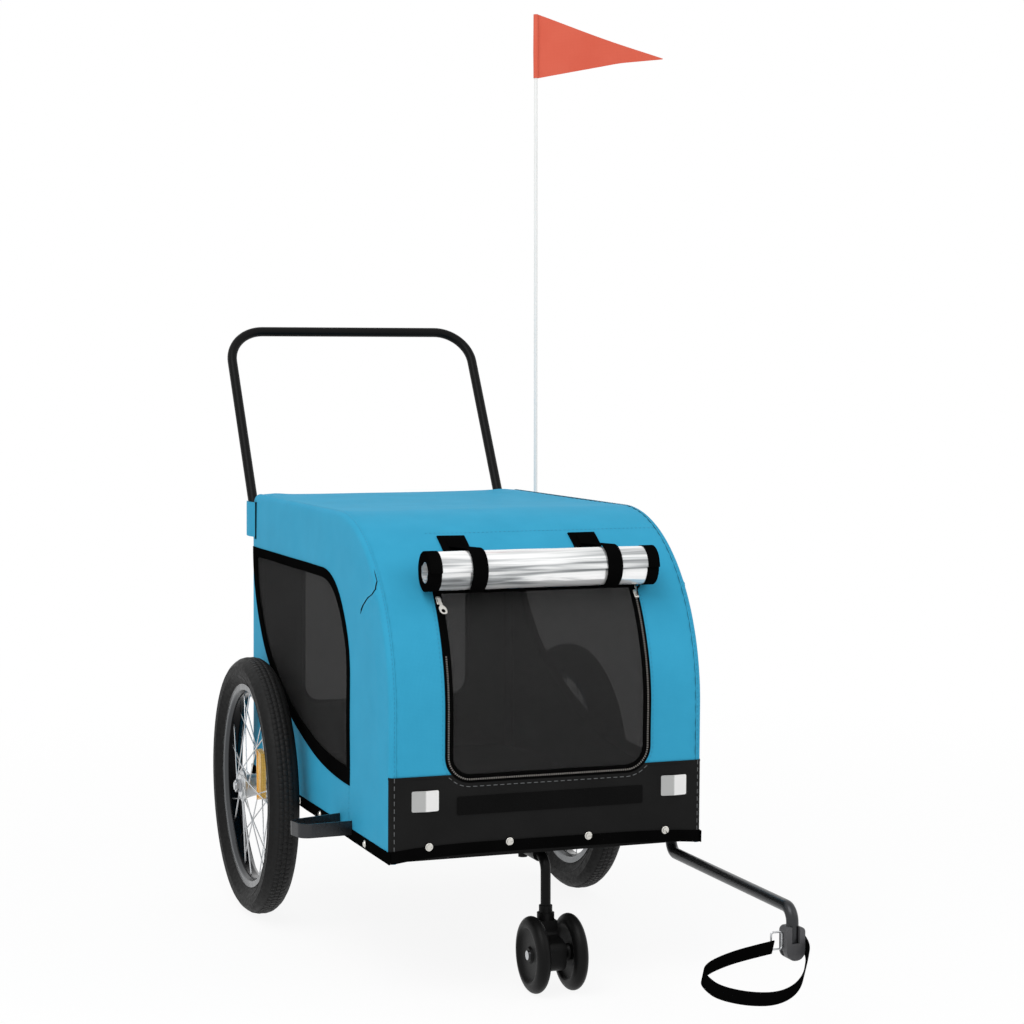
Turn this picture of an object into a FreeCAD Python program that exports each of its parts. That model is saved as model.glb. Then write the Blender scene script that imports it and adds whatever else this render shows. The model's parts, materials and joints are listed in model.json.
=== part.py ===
import FreeCAD, Part
import math
import os
import re

# A dog bike trailer, standing ready to be towed: a cloth cabin on a steel base frame, two spoked wheels,
# a twin jockey wheel under the front, a cranked tow bar, a folding push handle and a safety flag.
# While it is drawn, X runs to the right as seen from the front, Y to the back and Z up from the ground;
# Y is zero at the front of the cabin. Sizes are in millimetres and degrees.

SIZES = [
    ("cabin_width", 453, "outer width over the side panels"),
    ("cabin_length", 760, "outer length over the front and rear panels"),
    ("cabin_height", 458, "cloth from its lower edge to the roof"),
    ("hem_drop", 2, "lower edge of the cloth below the base frame"),
    ("nose_radius", 265, "curve from the front panel into the roof"),
    ("tail_radius", 25, "curve from the roof into the rear panel"),
    ("cloth", 2, "thickness of the coated cloth"),
    ("slack", 0.5, "space between the cloth and the frame tubes"),
    ("rest_gap", 0.3, "gap between parts that rest on each other"),
    ("fit", 0.05, "clearance of a pin in its hole"),
    ("kick_height", 116, "height of the black front panel"),
    ("front_hem", 24, "height of the front hem"),
    ("side_hem", 16, "height of the side and rear hems"),
    ("hem_thick", 1.5, "thickness of the hem webbing"),
    ("door_width", 286, "clear width of the front and rear doors"),
    ("door_rise", 111, "doors above the lower edge of the cloth"),
    ("door_drop", 101, "doors below the roof"),
    ("door_corner", 30, "lower corner radius of the doors"),
    ("door_gap", 1.5, "gap round a door panel"),
    ("mesh", 1.2, "thickness of the mesh"),
    ("door_bead", 3, "diameter of the piping a door turns on"),
    ("zip_width", 6, "width of the zip chain"),
    ("zip_thick", 1.5, "thickness of the zip chain"),
    ("zip_angle", 34, "where the sliders rest on the nose curve"),
    ("slider_wide", 7, "width of a zip slider"),
    ("slider_toe", 5, "width of the lower end of a zip slider"),
    ("slider_long", 12, "length of a zip slider"),
    ("slider_high", 4, "height of a zip slider"),
    ("slider_round", 2, "upper corner radius of a zip slider"),
    ("pull_long", 24, "length of a zip pull"),
    ("pull_wide", 3.5, "width of a zip pull"),
    ("pull_eye", 6, "width of a zip pull round its eye"),
    ("eye_hole", 3, "diameter of the eye in a zip pull"),
    ("pull_thick", 2, "thickness of a zip pull"),
    ("window_front", 199, "front edge of the side window behind the cabin front"),
    ("window_rear", 21, "rear tip of the side window ahead of the cabin rear"),
    ("window_drop", 98, "upper edge of the side window below the roof"),
    ("window_rise", 89, "lower edge of the side window above the lower edge of the cloth"),
    ("window_corner", 130, "upper front corner radius of the side window"),
    ("window_seam", 8, "overlap of the window mesh behind the panel"),
    ("binding", 13, "width of the black binding round the window"),
    ("binding_thick", 0.8, "thickness of the window binding"),
    ("rail", 20, "outer size of the square base tube"),
    ("rail_wall", 1.5, "wall of the square base tube"),
    ("floor_thick", 4, "thickness of the floor board"),
    ("floor_gap", 0.5, "gap between the floor board and the hoops"),
    ("tube", 16, "outer diameter of the hoops and the push handle"),
    ("tube_wall", 1.5, "wall of the round tubes"),
    ("hoop_bend", 45, "rear bend radius of the hoops"),
    ("roof_front_gap", 20, "front roof tube behind the nose curve"),
    ("roof_rear_gap", 70, "rear roof tube ahead of the cabin rear"),
    ("roll", 58, "diameter of the rolled rain cover"),
    ("roll_length", 338, "length of the rolled rain cover"),
    ("roll_drop", 69, "axis of the rolled rain cover below the roof"),
    ("roll_film", 1.6, "thickness of one turn of the rain cover"),
    ("roll_pitch", 3.6, "growth of the roll in one turn"),
    ("roll_core", 19, "diameter of the hollow in the roll"),
    ("strap_thick", 1.2, "thickness of the roll straps"),
    ("strap_wide", 30, "width of the roll straps"),
    ("strap_spread", 200, "distance between the roll straps"),
    ("strap_angle", 61, "where the roll straps are sewn to the nose curve"),
    ("patch_wide", 38, "width of a front reflective patch"),
    ("patch_high", 28, "height of a front reflective patch"),
    ("patch_thick", 2, "thickness of a front reflective patch"),
    ("patch_inset", 45, "middle of a front patch inside the cabin side"),
    ("patch_rise", 83, "middle of a front patch above the lower edge of the cloth"),
    ("stud", 11, "diameter of a press stud"),
    ("stud_crown", 7.4, "diameter of the flat top of a press stud"),
    ("stud_high", 3, "height of a press stud"),
    ("stud_pitch", 115, "distance between press studs"),
    ("stud_rise", 18, "front press studs above the lower edge of the cloth"),
    ("guard_front", 176, "front leg of the wheel guard behind the cabin front"),
    ("guard_depth", 63, "rear leg of the wheel guard behind its front leg"),
    ("guard_side", 36, "rear outer bend of the wheel guard behind its front leg"),
    ("guard_reach", 78, "reach of the wheel guard from the cabin side"),
    ("guard_taper", 4, "slant of the outer run of the wheel guard"),
    ("guard_flare", 4, "forward slant of the front leg of the wheel guard"),
    ("guard_corner", 15, "front outer bend radius of the wheel guard"),
    ("guard_curl", 10, "rear outer bend radius of the wheel guard"),
    ("guard_band", 3, "thickness of the wheel guard band"),
    ("guard_high", 20, "height of the wheel guard band"),
    ("guard_rise", 18, "middle of the wheel guard above the lower edge of the cloth"),
    ("wheel", 400, "diameter over the tyre"),
    ("wheel_gap", 39.5, "wheel mid plane outside the cabin side"),
    ("axle_ahead", 170, "axle ahead of the cabin rear"),
    ("tyre_height", 42, "tyre from the rim edge to the tread"),
    ("tyre_width", 48, "width of the tyre"),
    ("tyre_wall", 4, "thickness of the tyre"),
    ("tread", 6, "thickness of the tyre under the tread"),
    ("tyre_belly", 13, "lower side bend of the tyre above the rim edge"),
    ("tyre_round", 12, "lower side bend radius of the tyre"),
    ("tyre_shoulder", 14, "shoulder radius of the tyre"),
    ("tyre_lip", 3, "bend radius of the tyre at the rim edge"),
    ("crown", 0.8, "rise of the tread's corner over its middle"),
    ("crown_slope", 0.2, "fall of the tread to each side"),
    ("rim_width", 28, "width of the rim"),
    ("rim_depth", 14, "depth of the rim"),
    ("rim_wall", 2.5, "wall of the rim"),
    ("rim_shoulder", 5, "height of the slanted shoulder of the rim"),
    ("rim_bend", 4, "bend radius of the rim section"),
    ("hub", 34, "diameter of the hub barrel"),
    ("hub_flange", 50, "diameter of a hub flange"),
    ("hub_width", 46, "length of the hub"),
    ("flange_thick", 3, "thickness of a hub flange"),
    ("bearing", 26, "outer diameter of a hub bearing"),
    ("bearing_width", 9, "width of a hub bearing"),
    ("bearing_step", 2, "shoulder behind a hub bearing"),
    ("axle", 12, "diameter of the wheel axle"),
    ("axle_collar", 18, "diameter of the axle between the rail and the hub"),
    ("axle_tail", 8, "axle end inside the side rail"),
    ("axle_end", 2, "axle end beyond its nut"),
    ("axle_room", 20.4, "diameter of the hole for the axle in the cloth"),
    ("nut_across", 20, "corner diameter of an axle nut"),
    ("nut_thick", 7, "thickness of an axle nut"),
    ("spoke", 2, "diameter of a spoke"),
    ("spoke_pairs", 14, "pairs of crossed spokes in a wheel"),
    ("spoke_lean", 62, "turn from the hub end to the rim end of a spoke"),
    ("spoke_inset", 4, "spoke head inside the flange edge"),
    ("spoke_dish", 3, "spoke end beside the middle of the rim"),
    ("spoke_cross", 1.3, "room for the outer spokes where they cross the inner ones"),
    ("lamp_long", 81, "length of a spoke reflector"),
    ("lamp_wide", 28, "width of a spoke reflector"),
    ("lamp_thick", 8, "thickness of a spoke reflector"),
    ("lamp_taper", 6, "outer side of a spoke reflector shorter at each end"),
    ("lamp_round", 4, "corner radius of a spoke reflector"),
    ("lamp_frame", 3, "frame round the lens of a spoke reflector"),
    ("lens_deep", 1.5, "lens below the frame of a spoke reflector"),
    ("lamp_radius", 63, "spoke reflector from the axle"),
    ("lamp_shift", 3.7, "spoke reflector outside the wheel mid plane"),
    ("lamp_angle", 157, "turn of the spoke reflector round the axle, from the back over the top"),
    ("jockey", 105, "diameter of the jockey wheels"),
    ("jockey_width", 20, "width of a jockey wheel"),
    ("jockey_spread", 52, "distance between the jockey wheel mid planes"),
    ("jockey_hub", 20, "diameter of the jockey wheel hub"),
    ("hub_flare", 3, "flare of the jockey wheel hub"),
    ("hub_face", 7, "outer face of the jockey wheel hub from the mid plane"),
    ("disc_web", 8, "thickness of the jockey wheel web"),
    ("disc_rim", 9, "thickness of the jockey wheel tread"),
    ("disc_dish", 6, "slope from the tread of a jockey wheel to its web"),
    ("disc_round", 5, "corner radius of the jockey wheel tread"),
    ("disc_lip", 2, "edge radius of the jockey wheel dish"),
    ("jockey_axle", 8, "diameter of the jockey axle"),
    ("jockey_cap", 12.8, "diameter of the jockey axle heads"),
    ("cap_thick", 3, "thickness of the jockey axle heads"),
    ("jockey_trail", 24, "jockey axle ahead of its stem"),
    ("head_rise", 41.5, "top of the jockey fork above its axle"),
    ("fork_wide", 26, "width of the jockey fork"),
    ("fork_radius", 23, "size of the fork round the jockey axle"),
    ("fork_toe", 18, "lower bend radius of the jockey fork"),
    ("fork_brow", 16, "front corner of the jockey fork above its axle"),
    ("fork_heel", 14, "rear corner of the jockey fork above its axle"),
    ("fork_bend", 14, "upper bend radius of the jockey fork"),
    ("fork_throat", 6, "bend radius of the fork under its collars"),
    ("collar_wide", 24, "diameter of the lower fork collar"),
    ("collar_slim", 18.6, "diameter of the upper fork collar"),
    ("collar_high", 10, "height of each fork collar"),
    ("stem", 14, "diameter of the jockey stem"),
    ("stem_back", 11.3, "jockey stem behind the cabin front"),
    ("stem_bend", 20, "bend radius of the jockey stem"),
    ("stem_tail", 6, "end of the stem inside its socket"),
    ("socket", 20, "outer size of the jockey socket"),
    ("socket_front", 34, "front of the jockey socket behind the cabin front"),
    ("socket_long", 90, "length of the jockey socket"),
    ("plunger", 5, "diameter of the locking plunger"),
    ("plunger_knob", 13, "diameter of the plunger knob"),
    ("knob_high", 6, "height of the plunger knob"),
    ("tow", 16, "diameter of the tow bar"),
    ("tow_inset", 14.5, "tow bar inside the right side of the cabin"),
    ("tow_pivot", 66, "tow bar pivot behind the cabin front"),
    ("tow_reach", 315, "tow bar end ahead of the cabin front"),
    ("tow_drop", 27, "tow bar below the base frame"),
    ("tow_bend", 18, "bend radius of the tow bar"),
    ("bracket_plate", 5.5, "thickness of the tow bracket plate"),
    ("bracket_cheek", 4, "thickness of the tow bracket cheeks"),
    ("bracket_long", 36, "length of the tow bracket"),
    ("bracket_wide", 28, "width of the tow bracket"),
    ("clip_thick", 1.4, "thickness of the snap ring"),
    ("clip_wide", 3, "width of the snap ring band"),
    ("clip_room", 1.6, "space round the snap ring under the base frame"),
    ("coupling_wide", 26, "width of the coupling"),
    ("coupling_high", 43, "height of the coupling"),
    ("coupling_deep", 22, "depth of the coupling"),
    ("coupling_drop", 22, "top of the coupling below the tow bar"),
    ("coupling_brow", 6.5, "upper corner radius of the coupling"),
    ("coupling_chin", 12.3, "lower corner radius of the coupling"),
    ("bar_depth", 29, "tow bar end inside the coupling"),
    ("slot_wide", 11, "width of the slot in the front of the coupling"),
    ("hitch_pin", 8, "diameter of the hitch pin"),
    ("hitch_back", 4, "hitch pin behind the end of the tow bar"),
    ("tether_wide", 18, "width of the safety strap"),
    ("tether_thick", 2, "thickness of the safety strap"),
    ("tether_tilt", 24, "droop of the safety strap below level"),
    ("ring_wire", 2.6, "wire of the strap ring"),
    ("ring_reach", 17, "outer side of the strap ring from the coupling"),
    ("ring_low", 7, "lower side of the strap ring below the coupling's middle"),
    ("ring_high", 15, "upper side of the strap ring above the coupling's middle"),
    ("ring_bend", 3, "corner radius of the strap ring"),
    ("pivot_out", 22, "handle pivot behind the cabin rear"),
    ("pivot_drop", 41, "handle pivot below the roof"),
    ("handle_lean", 31.25, "backward lean of the handle"),
    ("handle_height", 306, "handle bar above its pivot"),
    ("handle_bend", 60, "corner radius of the handle"),
    ("handle_tail", 15, "handle leg below its pivot"),
    ("handle_bolt", 6, "diameter of the handle bolts"),
    ("lug_thick", 4, "thickness of the handle lugs"),
    ("lug_high", 30, "height of the handle lugs"),
    ("lug_round", 9, "corner radius of the handle lugs"),
    ("lug_root", 18, "handle lugs inside the rear panel"),
    ("lug_tip", 9.6, "handle lugs behind the handle pivot"),
    ("bolt_head", 12, "diameter of the handle bolt heads"),
    ("bolt_nut", 10.8, "diameter of the handle bolt nuts"),
    ("bolt_high", 3.5, "height of the handle bolt heads and nuts"),
    ("flap_high", 55, "height of the corner flaps over the handle bolts"),
    ("flap_long", 45, "length of the corner flaps"),
    ("flap_lap", 15, "corner flaps ahead of the cabin rear"),
    ("pole", 6, "diameter of the flag pole"),
    ("pole_ahead", 95, "flag pole ahead of the cabin rear"),
    ("pole_drop", 68, "lower end of the flag pole below the roof"),
    ("pole_length", 847, "length of the flag pole"),
    ("pocket", 9, "size of the flag pocket"),
    ("pocket_high", 64, "height of the flag pocket"),
    ("flag_fly", 230, "length of the flag"),
    ("flag_hoist", 103, "height of the flag"),
    ("flag_tip", 64, "flag tip below its upper edge"),
    ("flag_middle", 104, "bend of the lower flag edge from its root"),
    ("flag_belly", 80, "bend of the lower flag edge below the upper edge"),
    ("flag_sag", 400, "bend radius of the lower flag edge"),
    ("flag_thick", 0.8, "thickness of the flag"),
]

# Sizes and places that follow from those above, with heights from the ground and depths from the front.
PLACES = [
    ("rail_bottom", "wheel / 2 - rail / 2"),
    ("cabin_bottom", "rail_bottom - hem_drop"),
    ("cabin_top", "cabin_bottom + cabin_height"),
    ("kick_top", "cabin_bottom + kick_height"),
    ("door_bottom", "cabin_bottom + door_rise"),
    ("door_top", "cabin_top - door_drop"),
    ("window_top", "cabin_top - window_drop"),
    ("window_height", "cabin_height - window_drop - window_rise"),
    ("window_length", "cabin_length - window_front - window_rear"),
    ("roof_tube_front", "nose_radius + roof_front_gap"),
    ("roof_tube_rear", "cabin_length - roof_rear_gap"),
    ("roll_height", "cabin_top - roll_drop"),
    ("patch_spread", "cabin_width - 2 * patch_inset"),
    ("patch_height", "cabin_bottom + patch_rise"),
    ("guard_height", "cabin_bottom + guard_rise"),
    ("track", "cabin_width + 2 * wheel_gap"),
    ("axle_back", "cabin_length - axle_ahead"),
    ("rim", "wheel - 2 * tyre_height"),
    ("arm_height", "rail_bottom - socket / 2"),
    ("jockey_head", "jockey / 2 + head_rise"),
    ("tow_side", "cabin_width / 2 - tow_inset"),
    ("tow_height", "rail_bottom - tow_drop"),
    ("coupling_top", "tow_height - coupling_drop"),
    ("bar_end", "coupling_top - bar_depth"),
    ("handle_pivot", "cabin_length + pivot_out"),
    ("handle_low", "cabin_top - pivot_drop"),
    ("handle_top", "handle_low + handle_height"),
    ("pole_back", "cabin_length - pole_ahead"),
    ("pole_low", "cabin_top - pole_drop"),
    ("pole_top", "pole_low + pole_length"),
    ("rail_side", "cabin_width / 2 - cloth - slack"),
    ("lug_face", "rail_side - rail / 2 - tube / 2 - rest_gap"),
]

doc = FreeCAD.newDocument("DogTrailer")
sheet = doc.addObject("Spreadsheet::Sheet", "Sizes")
for row, (alias, value, note) in enumerate(SIZES, 1):
    sheet.set(f"A{row}", str(value))
    sheet.set(f"B{row}", note)
    sheet.setAlias(f"A{row}", alias)
places = doc.addObject("App::VarSet", "Places")
for name, text in PLACES:
    places.addProperty("App::PropertyFloat", name)
ALIASES = {alias for alias, value, note in SIZES}
FOLLOWING = {name for name, text in PLACES}


def formula(text, owner=None):
    """Points each name in a formula at the spreadsheet or the places, which know their own names."""

    def point(word):
        name = word[0]
        if name in ALIASES:
            return f"Sizes.{name}"
        return f"Places.{name}" if name in FOLLOWING and owner != places else name

    return re.sub(r"[a-z_]+", point, text)


for name, text in PLACES:
    places.setExpression(name, formula(text, places))
doc.recompute()


class Values:
    """Reads a size or place by its name."""

    def __getattr__(self, name):
        return getattr(places, name) if name in FOLLOWING else float(sheet.get(name))


s = Values()
Vector = FreeCAD.Vector
Rotation = FreeCAD.Rotation
Placement = FreeCAD.Placement

ALONG = {
    "X": Rotation(Vector(0, 1, 0), 90),
    "Y": Rotation(Vector(1, 0, 0), -90),
    "Z": Rotation(),
}
PLANES = {
    "side": Rotation(Vector(0, 1, 0), Vector(0, 0, 1), Vector(1, 0, 0), "ZXY"),
    "front": Rotation(Vector(1, 0, 0), Vector(0, 0, 1), Vector(0, -1, 0), "ZXY"),
    "plan": Rotation(),
}


def bind(obj, x=None, y=None, z=None, **properties):
    """Drives an object's place and properties by formulas."""
    for axis, text in (("x", x), ("y", y), ("z", z)):
        if text is not None:
            obj.setExpression(f"Placement.Base.{axis}", formula(text))
    for name, text in properties.items():
        obj.setExpression(name, formula(text))
    return obj


def box(name, x, y, z, wide, deep, high):
    obj = doc.addObject("Part::Box", name)
    return bind(obj, x, y, z, Length=wide, Width=deep, Height=high)


def cylinder(name, along, radius, length, x, y, z):
    obj = doc.addObject("Part::Cylinder", name)
    obj.Placement = Placement(Vector(), ALONG[along])
    return bind(obj, x, y, z, Radius=radius, Height=length)


def cut(name, base, *tools):
    for number, tool in enumerate(tools, 1):
        last = number == len(tools)
        obj = doc.addObject("Part::Cut", name if last else f"{name}_cut{number}")
        obj.Base = base
        obj.Tool = tool
        base = obj
    return base


def fuse(name, *pieces):
    obj = doc.addObject("Part::MultiFuse", name)
    obj.Shapes = list(pieces)
    obj.Refine = True
    return obj


def common(name, *pieces):
    obj = doc.addObject("Part::MultiCommon", name)
    obj.Shapes = list(pieces)
    return obj


def group(name, *pieces):
    """Several like pieces kept as one node."""
    obj = doc.addObject("Part::Compound", name)
    obj.Links = list(pieces)
    return obj


def mirror(name, source):
    """The same piece on the other side of the middle plane."""
    obj = doc.addObject("Part::Mirroring", name)
    obj.Source = source
    obj.Normal = Vector(1, 0, 0)
    return obj


def rounded(points, closed=True):
    """Straight runs through the points, with a tangent arc at each point that has a radius."""
    count = len(points)
    corners = []
    for number, (u, v, *radius) in enumerate(points):
        here = Vector(u, v, 0)
        is_end = not closed and number in (0, count - 1)
        if is_end or not radius:
            corners.append([here])
            continue
        before = Vector(*points[number - 1][:2], 0) - here
        after = Vector(*points[(number + 1) % count][:2], 0) - here
        half = before.getAngle(after) / 2
        before.normalize()
        after.normalize()
        middle = before + after
        middle.normalize()
        reach = radius[0] / math.tan(half)
        depth = radius[0] / math.sin(half) - radius[0]
        corners.append([here + before * reach, here + middle * depth, here + after * reach])
    edges = []
    for number, corner in enumerate(corners):
        if len(corner) == 3:
            edges.append(Part.Arc(*corner))
        if closed or number < count - 1:
            start = corner[-1]
            end = corners[(number + 1) % count][0]
            if start.distanceToPoint(end) > 0.001:
                edges.append(Part.LineSegment(start, end))
    return edges


def ribbon(points, thick):
    """The outline of a strip of even thickness along a bent centre line."""
    outline = []
    for side in (1, -1):
        shifted = []
        for number, (u, v, *radius) in enumerate(points):
            here = Vector(u, v, 0)
            normals = []
            for first in (number - 1, number):
                if 0 <= first < len(points) - 1:
                    run = Vector(*points[first + 1][:2], 0) - Vector(*points[first][:2], 0)
                    run.normalize()
                    normals.append(Vector(-run.y, run.x, 0))
            bisector = normals[0] + normals[-1]
            bisector.normalize()
            turn = normals[0].cross(normals[-1]).z
            place = here + bisector * (side * thick / 2 / bisector.dot(normals[0]))
            bend = [radius[0] - side * math.copysign(thick / 2, turn)] if radius else []
            shifted.append((place.x, place.y, *bend))
        outline += shifted if side == 1 else shifted[::-1]
    return rounded(outline)


def sketch(name, plane, at, edges):
    obj = doc.addObject("Sketcher::SketchObject", name)
    turn = PLANES[plane] if isinstance(plane, str) else plane
    obj.Placement = Placement(at, turn)
    obj.addGeometry(edges)
    return obj


def extrude(name, plane, at, edges, depth):
    """A closed outline pushed along the normal of its plane."""
    obj = doc.addObject("Part::Extrusion", name)
    obj.Base = sketch(f"{name}_outline", plane, at, edges)
    obj.DirMode = "Normal"
    obj.Solid = True
    obj.FaceMakerClass = "Part::FaceMakerBullseye"
    return bind(obj, LengthFwd=depth)


def bent_tube(name, plane, at, points, diameter, wall):
    """A round tube swept along straight runs joined by bends."""
    edges = rounded(points, closed=False)
    path = sketch(f"{name}_path", plane, at, edges)
    start = path.Placement.multVec(Vector(*points[0][:2], 0))
    toward = path.Placement.multVec(Vector(*points[1][:2], 0)) - start
    sweeps = []
    for part, inset in (("skin", "0"), ("bore", wall)):
        ring = doc.addObject("Part::Circle", f"{name}_{part}_ring")
        ring.Placement = Placement(start, Rotation(Vector(0, 0, 1), toward))
        bind(ring, Radius=f"{diameter} / 2 - {inset}")
        sweep = doc.addObject("Part::Sweep", f"{name}_{part}")
        sweep.Sections = [ring]
        sweep.Spine = (path, [f"Edge{number}" for number in range(1, len(edges) + 1)])
        sweep.Solid = True
        sweeps.append(sweep)
    return cut(name, *sweeps)


def turned(name, section, x, y, z):
    """A PartDesign body turned about the X axis from a half section drawn as (along the axis, radius)."""
    body = doc.addObject("PartDesign::Body", name)
    half = body.newObject("Sketcher::SketchObject", f"{name}_section")
    half.addGeometry(rounded(section))
    turn = body.newObject("PartDesign::Revolution", f"{name}_turn")
    turn.Profile = half
    turn.ReferenceAxis = (half, ["H_Axis"])
    turn.Angle = 360
    return bind(body, x, y, z)


nodes = {}
sides = (("left", -1), ("right", 1))
half_width = s.cabin_width / 2
inner_half = half_width - s.cloth
nose_centre = Vector(0, s.nose_radius, s.cabin_top - s.nose_radius)


# Base frame: two side rails joined by four cross rails, with a floor board on top.

def square_tube(name, along, x, y, z, length):
    """A length of the square base tube, open at both ends."""
    size = {"wide": "rail", "deep": "rail", "high": "rail"}
    bore = {"wide": "rail - 2 * rail_wall", "deep": "rail - 2 * rail_wall", "high": "rail - 2 * rail_wall"}
    across = "wide" if along == "X" else "deep"
    size[across] = length
    bore[across] = length
    step_x = "0" if along == "X" else "rail_wall"
    step_y = "0" if along == "Y" else "rail_wall"
    skin = box(f"{name}_skin", x, y, z, **size)
    hollow = box(f"{name}_bore", f"{x} + {step_x}", f"{y} + {step_y}", f"{z} + rail_wall", **bore)
    return cut(f"{name}_tube", skin, hollow)


rail_front = "cloth + slack"
side_rails = []
for side, sign in sides:
    x = "rail_side - rail" if sign > 0 else "-(rail_side)"
    tube = square_tube(f"{side}_rail", "Y", x, rail_front, "rail_bottom",
                       f"cabin_length - 2 * ({rail_front})")
    hole = cylinder(f"{side}_rail_axle_hole", "X", "axle / 2 + fit", "rail", x, "axle_back", "wheel / 2")
    side_rails.append(cut(f"{side}_rail", tube, hole))
nodes["side_rails"] = group("side_rails", *side_rails)

cross_places = [
    rail_front,
    "socket_front + socket_long / 2 - rail / 2",
    "axle_back - rail / 2",
    f"cabin_length - ({rail_front}) - rail",
]
cross_rails = []
for number, y in enumerate(cross_places, 1):
    length = "2 * (rail_side - rail)"
    cross_rails.append(square_tube(f"cross_rail_{number}", "X", "-(rail_side - rail)", y, "rail_bottom",
                                   length))
nodes["cross_rails"] = group("cross_rails", *cross_rails)

floor_half = "(rail_side - rail / 2 - tube / 2 - floor_gap)"
nodes["floor_board"] = box("floor_board", f"-{floor_half}", f"{rail_front} + slack", "rail_bottom + rail",
                           f"2 * {floor_half}", f"cabin_length - 2 * ({rail_front} + slack)", "floor_thick")

# Hoops: one bent tube on each side carries the cloth, tied by two tubes under the roof.

hoop_inset = s.cloth + s.slack + s.tube / 2
hoop_foot = s.rail_bottom + s.rail
hoop_side = half_width - s.cloth - s.slack - s.rail / 2
hoop_path = [
    (hoop_inset, hoop_foot),
    (hoop_inset, s.cabin_top - hoop_inset, s.nose_radius - hoop_inset),
    (s.cabin_length - hoop_inset, s.cabin_top - hoop_inset, s.hoop_bend),
    (s.cabin_length - hoop_inset, hoop_foot),
]
hoops = []
for side, sign in sides:
    at = Vector(sign * hoop_side, 0, 0)
    hoops.append(bent_tube(f"{side}_hoop", "side", at, hoop_path, "tube", "tube_wall"))
nodes["side_hoops"] = group("side_hoops", *hoops)

roof_tubes = []
for place in ("front", "rear"):
    at = ("-lug_face", f"roof_tube_{place}", "cabin_top - cloth - slack - tube / 2")
    skin = cylinder(f"{place}_roof_skin", "X", "tube / 2", "2 * lug_face", *at)
    bore = cylinder(f"{place}_roof_bore", "X", "tube / 2 - tube_wall", "2 * lug_face", *at)
    roof_tubes.append(cut(f"{place}_roof_tube", skin, bore))
nodes["roof_tubes"] = group("roof_tubes", *roof_tubes)


# Cloth: one band runs up the front, over the roof and down the back; each front and rear piece is the
# part of such a band that lies inside its own outline.

def band(name, outer, inner, half, width):
    """A band along the cabin profile between two offsets, which are positive outward."""
    outline = []
    for offset in (outer, inner):
        run = [
            (-offset, s.cabin_bottom),
            (-offset, s.cabin_top + offset, s.nose_radius + offset),
            (s.cabin_length + offset, s.cabin_top + offset, s.tail_radius + offset),
            (s.cabin_length + offset, s.cabin_bottom),
        ]
        outline += run if offset == outer else run[::-1]
    return extrude(name, "side", Vector(-half, 0, 0), rounded(outline), width)


def door_outline(grow, top):
    """A door outline seen from the front, made larger by an offset."""
    wide = s.door_width / 2 + grow
    low = s.door_bottom - grow
    corner = s.door_corner + grow
    return rounded([(-wide, top), (-wide, low, corner), (wide, low, corner), (wide, top)])


def door_prism(name, place, grow, top):
    """A door outline pushed through the front or the rear of the cabin only."""
    y = s.nose_radius / 2 if place == "front" else s.cabin_length + s.nose_radius / 2
    return extrude(name, "front", Vector(0, y, 0), door_outline(grow, top), "nose_radius")


cloth_band = band("cloth_band", 0, -s.cloth, inner_half, "cabin_width - 2 * cloth")
kick_zone = box("kick_zone", "-cabin_width", "-nose_radius / 2", "0", "2 * cabin_width", "nose_radius",
                "kick_top")
rear_zone = box("rear_zone", "-cabin_width", "cabin_length - tail_radius", "0", "2 * cabin_width",
                "2 * tail_radius", "cabin_top - tail_radius")
front_hole = door_prism("front_hole", "front", 0, s.door_top)
rear_hole = door_prism("rear_hole", "rear", 0, s.door_top)

nodes["front_roof_cover"] = cut("front_roof_cover", cloth_band, kick_zone, rear_zone, front_hole)
kick_sheet = common("kick_sheet", cloth_band, kick_zone)
nodes["kick_panel"] = cut("kick_panel", kick_sheet, front_hole)

rear_sheet = common("rear_sheet", cloth_band, rear_zone)
lug_slits = []
for side, sign in sides:
    x = "lug_face - lug_thick - slack" if sign > 0 else "-lug_face - slack"
    lug_slits.append(box(f"{side}_lug_slit", x, "cabin_length - tail_radius",
                         "handle_low - lug_high / 2 - slack",
                         "lug_thick + 2 * slack", "2 * tail_radius", "lug_high + 2 * slack"))
nodes["rear_panel"] = cut("rear_panel", rear_sheet, rear_hole, *lug_slits)


def window_outline(grow):
    """The side window: straight front and top, a round upper corner and a long curve below."""
    front = s.window_front - grow
    top = s.window_top + grow
    long = s.window_length + 2 * grow
    high = s.window_height + 2 * grow
    corner = s.window_corner + grow
    curve = Part.Ellipse(Vector(front, top, 0), long, high)
    turn = math.sqrt(0.5)
    middle = Vector(front + corner * (1 - turn), top - corner * (1 - turn), 0)
    return [
        Part.LineSegment(Vector(front, top - high, 0), Vector(front, top - corner, 0)),
        Part.Arc(Vector(front, top - corner, 0), middle, Vector(front + corner, top, 0)),
        Part.LineSegment(Vector(front + corner, top, 0), Vector(front + long, top, 0)),
        Part.ArcOfEllipse(curve, -math.pi / 2, 0),
    ]


side_outline = rounded([
    (0, s.cabin_bottom),
    (0, s.cabin_top, s.nose_radius),
    (s.cabin_length, s.cabin_top, s.tail_radius),
    (s.cabin_length, s.cabin_bottom),
])
side_sheet = extrude("side_sheet", "side", Vector(inner_half, 0, 0), side_outline + window_outline(0),
                     "cloth")
axle_slot = cylinder("axle_slot", "X", "axle_room / 2", "2 * rail", "cabin_width / 2 - rail", "axle_back",
                     "wheel / 2")
corner_flap = box("corner_flap", "cabin_width / 2", "cabin_length - flap_lap", "handle_low - flap_high / 2",
                  "cloth", "flap_long", "flap_high")
side_cut = cut("side_cut", side_sheet, axle_slot)
nodes["right_side_panel"] = fuse("right_side_panel", side_cut, corner_flap)
nodes["left_side_panel"] = mirror("left_side_panel", nodes["right_side_panel"])

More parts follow.
